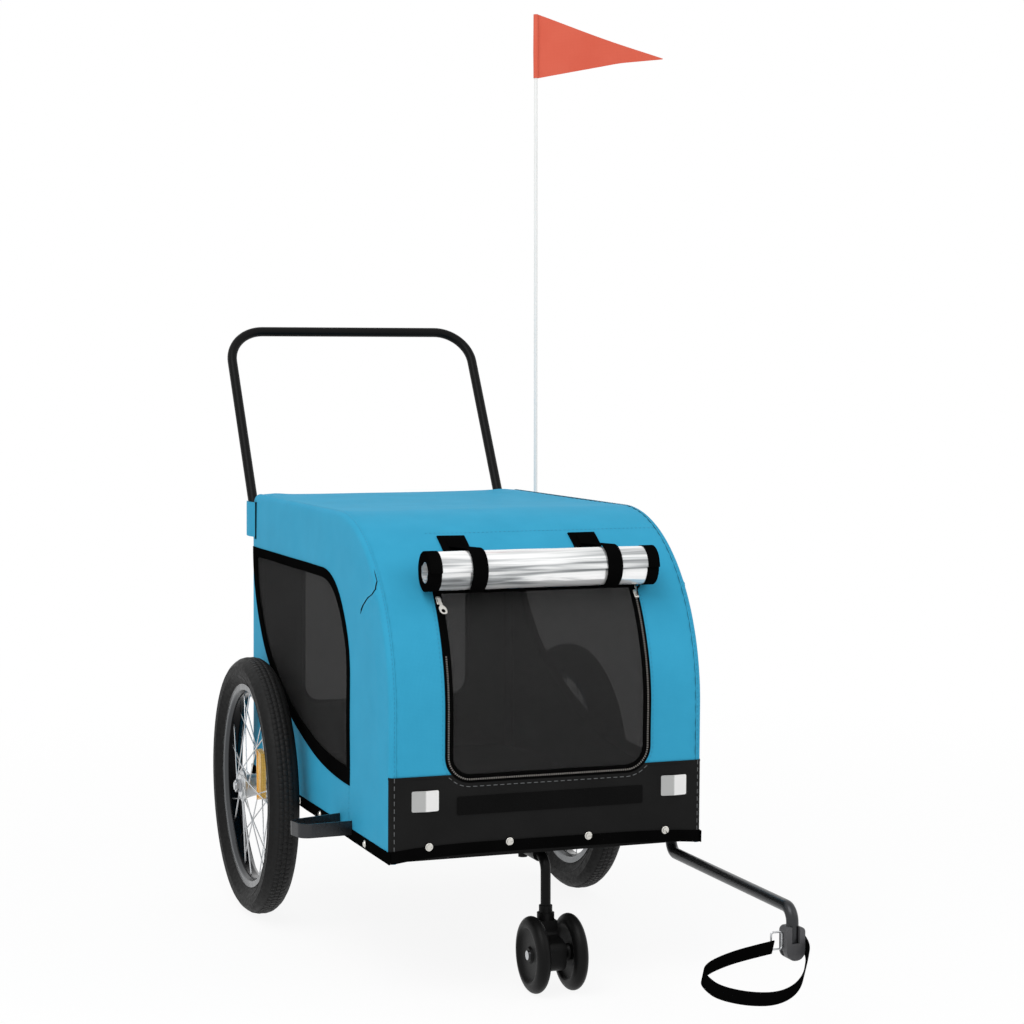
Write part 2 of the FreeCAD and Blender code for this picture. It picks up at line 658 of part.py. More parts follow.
nodes["right_window_mesh"] = extrude("right_window_mesh", "side", Vector(inner_half - s.mesh, 0, 0),
                                     window_outline(s.window_seam), "mesh")
nodes["left_window_mesh"] = mirror("left_window_mesh", nodes["right_window_mesh"])
right_binding = extrude("right_binding", "side", Vector(half_width, 0, 0),
                        window_outline(s.binding) + window_outline(0), "binding_thick")
nodes["window_bindings"] = group("window_bindings", right_binding, mirror("left_binding", right_binding))

hem_band = band("hem_band", s.hem_thick, 0, half_width, "cabin_width")
front_hem_zone = box("front_hem_zone", "-cabin_width", "-nose_radius / 2", "cabin_bottom", "2 * cabin_width",
                     "nose_radius", "front_hem")
rear_hem_zone = box("rear_hem_zone", "-cabin_width", "cabin_length - tail_radius", "cabin_bottom",
                    "2 * cabin_width", "2 * tail_radius", "side_hem")
hem_strip = box("hem_strip", "cabin_width / 2", "0", "cabin_bottom", "hem_thick", "cabin_length", "side_hem")
right_hem = cut("right_hem", hem_strip, axle_slot)
nodes["hems"] = group("hems", common("front_hem_strip", hem_band, front_hem_zone),
                      common("rear_hem_strip", hem_band, rear_hem_zone), right_hem, mirror("left_hem",
                                                                                           right_hem))

# Mesh doors: each lies in its hole and turns on a round piping at its upper edge.

mesh_skin = (s.cloth - s.mesh) / 2
mesh_band = band("mesh_band", -mesh_skin, mesh_skin - s.cloth, s.door_width / 2, "door_width")
bead_height = s.door_top - s.rest_gap - s.door_bead / 2
bead_rise = bead_height - nose_centre.z
bead_front = nose_centre.y - math.sqrt((s.nose_radius - s.cloth / 2) ** 2 - bead_rise ** 2)
bead_places = {"front": bead_front, "rear": s.cabin_length - s.cloth / 2}
zip_band = band("zip_band", s.zip_thick, 0, half_width, "cabin_width")
zips = []
for place, bead_back in bead_places.items():
    leaf = common(f"{place}_leaf", mesh_band, door_prism(f"{place}_leaf_zone", place, -s.door_gap,
                                                         bead_height))
    bead = cylinder(f"{place}_bead", "X", "door_bead / 2", "door_width - 2 * door_gap",
                    "door_gap - door_width / 2", f"{bead_back}", f"{bead_height}")
    nodes[f"{place}_mesh_door"] = fuse(f"{place}_mesh_door", leaf, bead)
    zip_outer = door_prism(f"{place}_zip_outer", place, s.rest_gap + s.zip_width, s.door_top)
    zip_inner = door_prism(f"{place}_zip_inner", place, s.rest_gap, s.door_top + s.cloth)
    zips.append(common(f"{place}_zip", zip_band, cut(f"{place}_zip_zone", zip_outer, zip_inner)))
nodes["door_zips"] = group("door_zips", *zips)

for side, sign in sides:
    x = sign * (s.door_width / 2 + s.rest_gap + s.zip_width / 2)
    lift = s.zip_thick + s.rest_gap
    head = nose_centre.z + s.slider_long / 2
    toe = nose_centre.z - s.slider_long / 2
    slider = extrude(f"{side}_slider_body", "front", Vector(0, -lift, 0), rounded([
        (x - s.slider_toe / 2, toe),
        (x + s.slider_toe / 2, toe),
        (x + s.slider_wide / 2, nose_centre.z),
        (x + s.slider_wide / 2, head, s.slider_round),
        (x - s.slider_wide / 2, head, s.slider_round),
        (x - s.slider_wide / 2, nose_centre.z),
    ]), "slider_high")
    end = nose_centre.z - s.pull_long
    neck = end + 2 * s.pull_eye
    eye = Part.Circle(Vector(x, end + s.pull_eye / 2, 0), Vector(0, 0, 1), s.eye_hole / 2)
    pull = extrude(f"{side}_slider_pull", "front", Vector(0, -lift - s.slider_high, 0), rounded([
        (x - s.pull_eye / 2, end, s.eye_hole / 2),
        (x + s.pull_eye / 2, end, s.eye_hole / 2),
        (x + s.pull_eye / 2, end + s.pull_eye, s.eye_hole / 2),
        (x + s.pull_wide / 2, neck, s.pull_eye),
        (x + s.pull_wide / 2, nose_centre.z),
        (x - s.pull_wide / 2, nose_centre.z),
        (x - s.pull_wide / 2, neck, s.pull_eye),
        (x - s.pull_eye / 2, end + s.pull_eye, s.eye_hole / 2),
    ]) + [eye], "pull_thick")
    nodes[f"{side}_zip_slider"] = fuse(f"{side}_zip_slider", slider, pull)
    nodes[f"{side}_zip_slider"].Placement = Placement(Vector(), Rotation(Vector(1, 0, 0), -s.zip_angle),
                                                      nose_centre)

# Rain cover: rolled up on the nose curve and held by two straps.

roll_lift = s.nose_radius + s.rest_gap + s.strap_thick + s.rest_gap + s.roll / 2
roll_rise = s.roll_height - nose_centre.z
roll_back = nose_centre.y - math.sqrt(roll_lift ** 2 - roll_rise ** 2)
roll_centre = Vector(roll_back, s.roll_height, 0)
turns = int((s.roll - s.roll_core) / 2 / s.roll_pitch)
coil_out = []
coil_in = []
for number in range(2 * turns):
    radius = s.roll / 2 - number * s.roll_pitch / 2
    up = 1 if number % 2 == 0 else -1
    middle = roll_centre + Vector(0 if up > 0 else s.roll_pitch / 2, 0, 0)
    for edges, size in ((coil_out, radius), (coil_in, radius - s.roll_film)):
        ends = [middle + Vector(-up * size, 0, 0), middle + Vector(0, up * size, 0),
                middle + Vector(up * size, 0, 0)]
        edges.append(Part.Arc(*ends))
caps = [
    Part.LineSegment(coil_out[0].StartPoint, coil_in[0].StartPoint),
    Part.LineSegment(coil_out[-1].EndPoint, coil_in[-1].EndPoint),
]
nodes["rain_cover_roll"] = extrude("rain_cover_roll", "side", Vector(-s.roll_length / 2, 0, 0),
                                   coil_out + coil_in + caps, "roll_length")


def on_nose(offset, angle):
    """A point of the side view at an offset from the nose curve and an angle above its start."""
    reach = s.nose_radius + offset
    turn = math.radians(angle)
    return Vector(nose_centre.y - reach * math.cos(turn), nose_centre.z + reach * math.sin(turn), 0)


roll_angle = math.degrees(math.asin(roll_rise / roll_lift))
roll_straps = []
for side, sign in sides:
    at = Vector(sign * s.strap_spread / 2 - s.strap_wide / 2, 0, 0)
    loop_in = s.roll / 2 + s.rest_gap
    loop = extrude(f"{side}_roll_loop", "side", at, [
        Part.Circle(roll_centre, Vector(0, 0, 1), loop_in),
        Part.Circle(roll_centre, Vector(0, 0, 1), loop_in + s.strap_thick),
    ], "strap_wide")
    low = s.rest_gap
    high = s.rest_gap + s.strap_thick
    middle = (roll_angle + s.strap_angle) / 2
    tail = extrude(f"{side}_roll_tail", "side", at, [
        Part.Arc(on_nose(high, roll_angle), on_nose(high, middle), on_nose(high, s.strap_angle)),
        Part.LineSegment(on_nose(high, s.strap_angle), on_nose(low, s.strap_angle)),
        Part.Arc(on_nose(low, s.strap_angle), on_nose(low, middle), on_nose(low, roll_angle)),
        Part.LineSegment(on_nose(low, roll_angle), on_nose(high, roll_angle)),
    ], "strap_wide")
    roll_straps.append(fuse(f"{side}_roll_strap", loop, tail))
nodes["roll_straps"] = group("roll_straps", *roll_straps)

# Trim: reflective patches on the front and press studs along the hems.

patches = []
for side, sign in sides:
    middle = "patch_spread / 2" if sign > 0 else "-patch_spread / 2"
    patches.append(box(f"{side}_patch", f"{middle} - patch_wide / 2", "-patch_thick",
                       "patch_height - patch_high / 2",
                       "patch_wide", "patch_thick", "patch_high"))
nodes["front_patches"] = group("front_patches", *patches)

studs = []


def press_stud(x, y, z, toward):
    obj = doc.addObject("Part::Cone", f"stud_{len(studs) + 1}")
    obj.Placement = Placement(Vector(), Rotation(Vector(0, 0, 1), toward))
    studs.append(bind(obj, x, y, z, Radius1="stud / 2", Radius2="stud_crown / 2", Height="stud_high"))


for step in (-1.5, -0.5, 0.5, 1.5):
    across = f"{step} * stud_pitch"
    press_stud(across, "-hem_thick", "cabin_bottom + stud_rise", Vector(0, -1, 0))
    press_stud(across, "cabin_length + hem_thick", "cabin_bottom + side_hem / 2", Vector(0, 1, 0))
for step in range(1, int((s.cabin_length - s.stud) / s.stud_pitch) + 1):
    if abs(step * s.stud_pitch - s.stud / 2 - s.axle_back) < 2 * s.axle:
        continue
    for sign in ("", "-"):
        press_stud(f"{sign}(cabin_width / 2 + hem_thick)", f"{step} * stud_pitch - stud / 2",
                   "cabin_bottom + side_hem / 2", Vector(-1 if sign else 1, 0, 0))
nodes["press_studs"] = group("press_studs", *studs)

# Wheel guards: a flat band loops out ahead of each wheel.

guard_out = half_width + s.guard_reach
guard_line = [
    (inner_half, s.guard_front),
    (guard_out - s.guard_taper, s.guard_front - s.guard_flare, s.guard_corner),
    (guard_out + s.guard_taper, s.guard_front + s.guard_side, s.guard_curl),
    (inner_half, s.guard_front + s.guard_depth),
]
guard_loop = extrude("guard_loop", "plan", Vector(0, 0, s.guard_height - s.guard_high / 2),
                     ribbon(guard_line, s.guard_band), "guard_high")
guard_wall = box("guard_wall", "0", "0", "0", "cabin_width / 2 + hem_thick + rest_gap", "cabin_length",
                 "cabin_top")
right_guard = cut("right_guard", guard_loop, guard_wall)
nodes["wheel_guards"] = group("wheel_guards", right_guard, mirror("left_guard", right_guard))

# Wheels: tyre, rim, crossed spokes, hub and bearings turn together on an axle fixed in the side rail.

wheel_radius = s.wheel / 2
rim_radius = s.rim / 2
rim_floor = rim_radius - s.rim_depth
tyre_half = s.tyre_width / 2
bead_half = s.rim_width / 2 - s.rim_wall - s.rest_gap
rim_bed = rim_floor + 2 * s.rim_wall
tyre_foot = rim_bed + s.rest_gap
belly = rim_radius + s.tyre_belly
crown_radius = s.crown / (math.hypot(1, s.crown_slope) - 1)
shoulder = wheel_radius + s.crown - s.crown_slope * tyre_half
inner_bead = bead_half - s.tyre_wall
inner_tyre = tyre_half - s.tyre_wall
inner_lip = rim_radius + s.tyre_lip - s.rest_gap
inner_belly = belly + s.tyre_lip
inner_top = wheel_radius - s.tread
inner_round = s.tyre_round - s.tyre_wall
inner_shoulder = s.tyre_shoulder - s.tyre_wall
tyre_section = [
    (-bead_half, tyre_foot),
    (-bead_half, rim_radius + s.rest_gap, s.tyre_lip),
    (-tyre_half, belly, s.tyre_round),
    (-tyre_half, shoulder, s.tyre_shoulder),
    (0, wheel_radius + s.crown, crown_radius),
    (tyre_half, shoulder, s.tyre_shoulder),
    (tyre_half, belly, s.tyre_round),
    (bead_half, rim_radius + s.rest_gap, s.tyre_lip),
    (bead_half, tyre_foot),
    (inner_bead, tyre_foot),
    (inner_bead, inner_lip, s.tyre_lip),
    (inner_tyre, inner_belly, inner_round),
    (inner_tyre, inner_top, inner_shoulder),
    (-inner_tyre, inner_top, inner_shoulder),
    (-inner_tyre, inner_belly, inner_round),
    (-inner_bead, inner_lip, s.tyre_lip),
    (-inner_bead, tyre_foot),
]
rim_half = s.rim_width / 2
rim_section = [
    (-rim_half, rim_radius),
    (-rim_half, rim_floor + s.rim_shoulder, s.rim_bend),
    (-rim_half / 2, rim_floor, s.rim_bend),
    (rim_half / 2, rim_floor, s.rim_bend),
    (rim_half, rim_floor + s.rim_shoulder, s.rim_bend),
    (rim_half, rim_radius),
    (rim_half - s.rim_wall, rim_radius),
    (rim_half - s.rim_wall, rim_bed),
    (s.rim_wall - rim_half, rim_bed),
    (s.rim_wall - rim_half, rim_radius),
]
hub_half = s.hub_width / 2
hub_radius = s.hub / 2
flange_radius = s.hub_flange / 2
flange_at = hub_half - s.flange_thick
seat_radius = s.bearing / 2 + s.fit / 2
hub_section = [
    (-hub_half, seat_radius),
    (-hub_half, hub_radius),
    (-flange_at, hub_radius),
    (-flange_at, flange_radius),
    (s.flange_thick - flange_at, flange_radius),
    (s.flange_thick - flange_at, hub_radius),
    (flange_at - s.flange_thick, hub_radius),
    (flange_at - s.flange_thick, flange_radius),
    (flange_at, flange_radius),
    (flange_at, hub_radius),
    (hub_half, hub_radius),
    (hub_half, seat_radius),
    (hub_half - s.bearing_width, seat_radius),
    (hub_half - s.bearing_width, seat_radius - s.bearing_step),
    (s.bearing_width - hub_half, seat_radius - s.bearing_step),
    (s.bearing_width - hub_half, seat_radius),
]


def spoke_set(name, x):
    """Straight spokes from both faces of each hub flange, leaning forward and back in turn."""
    spokes = []
    pitch = 360 / s.spoke_pairs
    for number in range(int(s.spoke_pairs)):
        flange = 1 if number % 2 == 0 else -1
        for lean in (1, -1):
            face = s.flange_thick / 2 + s.spoke / 2 + s.rest_gap
            if lean > 0:
                face += s.spoke_cross
            hub_x = flange * (flange_at - s.flange_thick / 2 + lean * face)
            hub_angle = math.radians((number - lean / 8) * pitch)
            rim_angle = hub_angle + lean * math.radians(s.spoke_lean)
            reach = flange_radius - s.spoke_inset
            foot = Vector(hub_x, reach * math.cos(hub_angle), reach * math.sin(hub_angle))
            end = rim_floor - s.rest_gap / 2
            tip = Vector(flange * s.spoke_dish, end * math.cos(rim_angle), end * math.sin(rim_angle))
            run = tip - foot
            wire = doc.addObject("Part::Cylinder", f"{name}_{len(spokes) + 1}")
            wire.Placement = Placement(foot + Vector(x, s.axle_back, wheel_radius), Rotation(Vector(0, 0,
                                                                                                    1), run))
            wire.Height = run.Length
            spokes.append(bind(wire, Radius="spoke / 2"))
    return group(name, *spokes)


nuts = []
for side, sign in sides:
    x = "track / 2" if sign > 0 else "-track / 2"
    place = (x, "axle_back", "wheel / 2")
    nodes[f"{side}_tyre"] = turned(f"{side}_tyre", tyre_section, *place)
    nodes[f"{side}_rim"] = turned(f"{side}_rim", rim_section, *place)
    nodes[f"{side}_hub"] = turned(f"{side}_hub", hub_section, *place)
    nodes[f"{side}_spokes"] = spoke_set(f"{side}_spokes", sign * s.track / 2)

    races = []
    for end, step in (("inner", "-hub_width / 2"), ("outer", "hub_width / 2 - bearing_width")):
        at = (f"{x} + {step}", "axle_back", "wheel / 2")
        ring = cylinder(f"{side}_{end}_race", "X", "bearing / 2", "bearing_width", *at)
        bore = cylinder(f"{side}_{end}_race_bore", "X", "axle / 2 + fit", "bearing_width", *at)
        races.append(cut(f"{side}_{end}_bearing", ring, bore))
    nodes[f"{side}_bearings"] = group(f"{side}_bearings", *races)

    root = s.track / 2 - hub_half - s.rest_gap
    axle_out = s.track / 2 + hub_half + s.rest_gap + s.nut_thick + s.axle_end
    axle_in = s.rail_side - s.rail - s.axle_tail
    pin = s.axle / 2
    collar = s.axle_collar / 2
    axle_section = [
        (sign * axle_in, 0),
        (sign * axle_in, pin),
        (sign * s.rail_side, pin),
        (sign * s.rail_side, collar),
        (sign * root, collar),
        (sign * root, pin),
        (sign * axle_out, pin),
        (sign * axle_out, 0),
    ]
    nodes[f"{side}_axle"] = turned(f"{side}_axle", axle_section, "0", "axle_back", "wheel / 2")

    nut_x = f"{x} + hub_width / 2 + rest_gap" if sign > 0 else f"{x} - hub_width / 2 - rest_gap - nut_thick"
    hexagon = doc.addObject("Part::Prism", f"{side}_nut_blank")
    hexagon.Polygon = 6
    hexagon.Placement = Placement(Vector(), ALONG["X"])
    bind(hexagon, nut_x, "axle_back", "wheel / 2", Circumradius="nut_across / 2", Height="nut_thick")
    nut_hole = cylinder(f"{side}_nut_hole", "X", "axle / 2 + fit / 2", "nut_thick", nut_x, "axle_back",
                        "wheel / 2")
    nuts.append(cut(f"{side}_nut", hexagon, nut_hole))

    turn = math.radians(180 - s.lamp_angle)
    lamp_y = -s.lamp_radius * math.cos(turn)
    lamp_z = s.lamp_radius * math.sin(turn)
    lamp_x = sign * (s.track / 2 + s.lamp_shift) - s.lamp_thick / 2
    lens_far = lamp_x + s.lamp_thick - s.lens_deep
    lamp = []
    for part, start, inset, depth in (
        ("body", lamp_x, 0, "lamp_thick"),
        ("near_lens", lamp_x, s.lamp_frame, "lens_deep"),
        ("far_lens", lens_far, s.lamp_frame, "lens_deep"),
    ):
        outer = s.axle_back + lamp_y - s.lamp_wide / 2 + inset
        inner = outer + s.lamp_wide - 2 * inset
        low = wheel_radius + lamp_z - s.lamp_long / 2 + inset
        high = low + s.lamp_long - 2 * inset
        bend = s.lamp_round - inset
        lamp.append(extrude(f"{side}_reflector_{part}", "side", Vector(start, 0, 0), rounded([
            (outer, low + s.lamp_taper, bend),
            (inner, low, bend),
            (inner, high, bend),
            (outer, high - s.lamp_taper, bend),
        ]), depth))
    nodes[f"{side}_spoke_reflector"] = cut(f"{side}_spoke_reflector", *lamp)
nodes["axle_nuts"] = group("axle_nuts", *nuts)

# Jockey wheel: a bent stem slides into a socket under the floor; the fork swivels on its lower end.

socket_end = s.socket_front + s.socket_long
socket_half = s.socket / 2
arm_z = s.arm_height
socket_block = extrude("socket_block", "front", Vector(0, socket_end, 0), [
    Part.Arc(Vector(-socket_half, arm_z, 0), Vector(0, arm_z - socket_half, 0), Vector(socket_half, arm_z,
                                                                                       0)),
    Part.LineSegment(Vector(socket_half, arm_z, 0), Vector(socket_half, s.rail_bottom, 0)),
    Part.LineSegment(Vector(socket_half, s.rail_bottom, 0), Vector(-socket_half, s.rail_bottom, 0)),
    Part.LineSegment(Vector(-socket_half, s.rail_bottom, 0), Vector(-socket_half, arm_z, 0)),
    Part.Circle(Vector(0, arm_z, 0), Vector(0, 0, 1), s.stem / 2 + s.fit),
], "socket_long")
plunger_back = "socket_front + socket_long * 3 / 4"
plunger_hole = cylinder("plunger_hole", "Z", "plunger / 2 + fit", "socket / 2", "0", plunger_back,
                        "arm_height - socket / 2 - rest_gap")
nodes["jockey_socket"] = cut("jockey_socket", socket_block, plunger_hole)

plunger_pin = cylinder("plunger_pin", "Z", "plunger / 2", "socket / 2 - stem / 2", "0", plunger_back,
                       "arm_height - socket / 2 - rest_gap")
plunger_knob = cylinder("plunger_grip", "Z", "plunger_knob / 2", "knob_high", "0", plunger_back,
                        "arm_height - socket / 2 - rest_gap - knob_high")
nodes["jockey_plunger"] = fuse("jockey_plunger", plunger_pin, plunger_knob)

stem_foot = s.jockey_head - s.collar_high
nodes["jockey_stem"] = bent_tube("jockey_stem", "side", Vector(0, 0, 0), [
    (socket_end - s.stem_tail, arm_z),
    (s.stem_back, arm_z, s.stem_bend),
    (s.stem_back, stem_foot),
], "stem", "tube_wall")

axle_y = s.stem_back - s.jockey_trail
axle_z = s.jockey / 2
neck = s.collar_wide / 2
fork_low = axle_z - s.fork_radius
fork_front = axle_y - s.fork_radius
fork_plate = extrude("fork_plate", "side", Vector(-s.fork_wide / 2, 0, 0), rounded([
    (s.stem_back - neck, s.jockey_head),
    (s.stem_back - neck, axle_z + s.fork_radius, s.fork_throat),
    (fork_front, axle_z + s.fork_brow, s.fork_bend),
    (fork_front, fork_low, s.fork_toe),
    (axle_y + s.fork_radius, fork_low, s.fork_toe),
    (s.stem_back + neck, axle_z + s.fork_heel, s.fork_bend),
    (s.stem_back + neck, s.jockey_head),
]), "fork_wide")
lower_collar = cylinder("lower_collar", "Z", "collar_wide / 2", "collar_high", "0", "stem_back",
                        "jockey_head")
upper_collar = cylinder("upper_collar", "Z", "collar_slim / 2", "2 * collar_high", "0", "stem_back",
                        "jockey_head")
fork_blank = fuse("fork_blank", fork_plate, lower_collar, upper_collar)
stem_hole = cylinder("stem_hole", "Z", "stem / 2 + fit", "4 * collar_high", "0", "stem_back",
                     "jockey_head - collar_high - rest_gap")
fork_hole = cylinder("fork_hole", "X", "jockey_axle / 2 + fit / 2", "fork_wide", "-fork_wide / 2",
                     "stem_back - jockey_trail", "jockey / 2")
nodes["jockey_fork"] = cut("jockey_fork", fork_blank, stem_hole, fork_hole)

tread_half = s.jockey_width / 2
jockey_radius = s.jockey / 2
inner_face = s.fork_wide / 2 + s.rest_gap - s.jockey_spread / 2
web = s.disc_web / 2
pin_hole = s.jockey_axle / 2 + s.fit
hub_edge = s.jockey_hub / 2
dish_edge = jockey_radius - s.disc_rim
disc_section = [
    (inner_face, pin_hole),
    (inner_face, hub_edge),
    (-web, hub_edge),
    (-web, dish_edge - s.disc_dish),
    (-tread_half, dish_edge),
    (-tread_half, jockey_radius, s.disc_round),
    (tread_half, jockey_radius, s.disc_round),
    (tread_half, dish_edge, s.disc_lip),
    (web, dish_edge - s.disc_dish, s.disc_lip),
    (web, hub_edge + s.hub_flare),
    (s.hub_face, hub_edge),
    (s.hub_face, pin_hole),
]
for side, sign in sides:
    section = [(sign * along, *rest) for along, *rest in disc_section]
    x = "jockey_spread / 2" if sign > 0 else "-jockey_spread / 2"
    nodes[f"jockey_{side}_wheel"] = turned(f"jockey_{side}_wheel", section, x, "stem_back - jockey_trail",
                                           "jockey / 2")

head_x = "(jockey_spread / 2 + hub_face + rest_gap)"
axle_parts = [cylinder("jockey_pin", "X", "jockey_axle / 2", f"2 * {head_x}", f"-{head_x}",
                       "stem_back - jockey_trail", "jockey / 2")]
for side, x in (("left", f"-{head_x} - cap_thick"), ("right", head_x)):
    axle_parts.append(cylinder(f"jockey_{side}_head", "X", "jockey_cap / 2", "cap_thick", x,
                               "stem_back - jockey_trail", "jockey / 2"))
nodes["jockey_axle"] = fuse("jockey_axle_pin", *axle_parts)

# Tow bar: a cranked tube turns upright in a bracket under the right rail and carries the coupling.

plate_top = "rail_bottom - clip_thick - clip_room"
bracket_x = "(rail_side) - bracket_wide"
bracket_y = "tow_pivot - bracket_long / 2"
bracket_parts = [box("bracket_sheet", bracket_x, bracket_y, f"{plate_top} - bracket_plate", "bracket_wide",
                     "bracket_long", "bracket_plate")]
for name, y in (("front", bracket_y), ("rear", "tow_pivot + bracket_long / 2 - bracket_cheek")):
    bracket_parts.append(box(f"bracket_{name}", bracket_x, y, f"{plate_top} - bracket_plate", "bracket_wide",
                             "bracket_cheek", f"rail_bottom - ({plate_top}) + bracket_plate"))
bracket_blank = fuse("bracket_blank", *bracket_parts)
bracket_hole = cylinder("bracket_hole", "Z", "tow / 2 + fit", "rail", "tow_side", "tow_pivot",
                        "rail_bottom - rail")
nodes["tow_bracket"] = cut("tow_bracket", bracket_blank, bracket_hole)

nodes["tow_bar"] = bent_tube("tow_bar", "side", Vector(s.tow_side, 0, 0), [
    (s.tow_pivot, s.rail_bottom - 2 * s.rest_gap),
    (s.tow_pivot, s.tow_height, s.tow_bend),
    (-s.tow_reach, s.tow_height, s.tow_bend),
    (-s.tow_reach, s.bar_end),
], "tow", "tube_wall")
clip_ring = cylinder("clip_ring", "Z", "tow / 2 + clip_wide", "clip_thick", "tow_side", "tow_pivot",
                     f"{plate_top} + rest_gap")
clip_hole = cylinder("clip_hole", "Z", "tow / 2 + fit / 2", "clip_thick", "tow_side", "tow_pivot",
                     f"{plate_top} + rest_gap")
nodes["tow_snap_ring"] = cut("tow_snap_ring", clip_ring, clip_hole)

grip_half = s.coupling_wide / 2
grip_low = s.coupling_top - s.coupling_high
grip = extrude("coupling_block", "front", Vector(s.tow_side, s.coupling_deep / 2 - s.tow_reach, 0), rounded([
    (-grip_half, s.coupling_top, s.coupling_brow),
    (-grip_half, grip_low, s.coupling_chin),
    (grip_half, grip_low, s.coupling_chin),
    (grip_half, s.coupling_top, s.coupling_brow),
]), "coupling_deep")
bar_hole = cylinder("bar_hole", "Z", "tow / 2 + fit", "coupling_high", "tow_side", "-tow_reach",
                    "bar_end - rest_gap")
slot = box("coupling_slot", "tow_side - slot_wide / 2", "-tow_reach - coupling_deep",
           "coupling_top - coupling_high / 2",
           "slot_wide", "coupling_deep", "coupling_high")
hitch_hole = cylinder("hitch_hole", "X", "hitch_pin / 2 + fit", "2 * coupling_wide",
                      "tow_side - coupling_wide",
                      "hitch_back - tow_reach", "coupling_top - coupling_high + hitch_pin")
nodes["coupling"] = cut("coupling", grip, bar_hole, slot, hitch_hole)

# Safety strap: a webbing loop droops ahead of the coupling, from a wire ring on its left to its right face.

tilt = Rotation(Vector(1, 0, 0), s.tether_tilt)
tether_at = Vector(s.tow_side, -s.tow_reach, s.coupling_top - s.coupling_high / 2)
face = grip_half + s.rest_gap + s.tether_thick / 2
tether_route = [
    (face, 9),
    (face + 3, -13),
    (0, -44),
    (-27, -85),
    (-64, -105),
    (-103, -101),
    (-138, -83),
    (-147, -62),
    (-146, -47),
    (-130, -33),
    (-96, -20),
    (-62, -12),
    (-30, -5.9),
]


def widest_bends(route):
    """Gives each inner point of a route the largest bend that its shorter run leaves room for."""
    points = [Vector(u, v, 0) for u, v in route]
    line = [route[0]]
    for before, here, after in zip(points, points[1:], points[2:]):
        shorter = min(here.distanceToPoint(before), after.distanceToPoint(here))
        turn = (here - before).getAngle(after - here)
        line.append((here.x, here.y, 0.45 * shorter / math.tan(turn / 2)))
    return line + [route[-1]]


tether_line = widest_bends(tether_route)
print("strap radii", *(f"{point[2]:.0f}" for point in tether_line[1:-1]))
tether_length = sum(edge.length() for edge in rounded(tether_line, closed=False))
tether_low = tether_at + tilt.multVec(Vector(0, 0, -s.tether_wide / 2))
nodes["safety_strap"] = extrude("safety_strap", tilt, tether_low, ribbon(tether_line, s.tether_thick),
                                "tether_wide")

ring_out = -grip_half - s.ring_reach
ring_in = -grip_half - s.ring_wire / 2 - s.rest_gap
ring_path = sketch("ring_path", "front", tether_at, rounded([
    (ring_out, -s.ring_low, s.ring_bend),
    (ring_in, -s.ring_low, s.ring_bend),
    (ring_in, s.ring_high, s.ring_bend),
    (ring_out, s.ring_high, s.ring_bend),
]))
ring_wire = doc.addObject("Part::Circle", "ring_wire")
ring_start = ring_path.Placement.multVec(Vector((ring_out + ring_in) / 2, -s.ring_low, 0))
ring_wire.Placement = Placement(ring_start, Rotation(Vector(0, 0, 1), Vector(1, 0, 0)))
bind(ring_wire, Radius="ring_wire / 2")
strap_ring = doc.addObject("Part::Sweep", "strap_ring")
strap_ring.Sections = [ring_wire]
strap_ring.Spine = (ring_path, [f"Edge{number}" for number in range(1, ring_path.GeometryCount + 1)])
strap_ring.Solid = True
nodes["strap_ring"] = strap_ring

# Push handle: a bent tube turns on two bolts through lugs that stand out of the rear panel.

lean = math.radians(s.handle_lean)
handle_plane = Rotation(Vector(1, 0, 0), Vector(0, math.sin(lean), math.cos(lean)),
                        Vector(0, -math.cos(lean), math.sin(lean)), "ZXY")
handle_rise = (s.handle_top - s.handle_low) / math.cos(lean)
handle_tube = bent_tube("handle_tube", handle_plane, Vector(0, s.handle_pivot, s.handle_low), [
    (-hoop_side, -s.handle_tail),
    (-hoop_side, handle_rise, s.handle_bend),
    (hoop_side, handle_rise, s.handle_bend),
    (hoop_side, -s.handle_tail),
], "tube", "tube_wall")
handle_hole = cylinder("handle_hole", "X", "handle_bolt / 2 + fit", "cabin_width", "-cabin_width / 2",
                       "handle_pivot",
                       "handle_low")
nodes["push_handle"] = cut("push_handle", handle_tube, handle_hole)

lugs = []
bolts = []
for side, sign in sides:
    x = "lug_face - lug_thick" if sign > 0 else "-lug_face"
    lug_low = s.handle_low - s.lug_high / 2
    lug_end = s.handle_pivot + s.lug_tip
    lug_start = Vector(s.lug_face - s.lug_thick if sign > 0 else -s.lug_face, 0, 0)
    lug = extrude(f"{side}_lug_blank", "side", lug_start, rounded([
        (s.cabin_length - s.lug_root, lug_low),
        (lug_end, lug_low, s.lug_round),
        (lug_end, lug_low + s.lug_high, s.lug_round),
        (s.cabin_length - s.lug_root, lug_low + s.lug_high),
    ]), "lug_thick")
    lug_hole = cylinder(f"{side}_lug_hole", "X", "handle_bolt / 2 + fit / 2", "lug_thick", x,
                        "handle_pivot", "handle_low")
    lugs.append(cut(f"{side}_lug", lug, lug_hole))

    head_in = "(lug_face - lug_thick - rest_gap)"
    head_out = "(rail_side - rail / 2 + tube / 2 + rest_gap)"
    spans = (
        ("shank", "handle_bolt / 2", head_in, f"{head_out} - {head_in}"),
        ("nut", "bolt_nut / 2", f"({head_in} - bolt_high)", "bolt_high"),
        ("head", "bolt_head / 2", head_out, "bolt_high"),
    )
    bolt = []
    for part, radius, start, length in spans:
        x = start if sign > 0 else f"-({start} + {length})"
        bolt.append(cylinder(f"{side}_bolt_{part}", "X", radius, length, x, "handle_pivot", "handle_low"))
    bolts.append(fuse(f"{side}_bolt", *bolt))
nodes["handle_lugs"] = group("handle_lugs", *lugs)
nodes["handle_bolts"] = group("handle_bolts", *bolts)

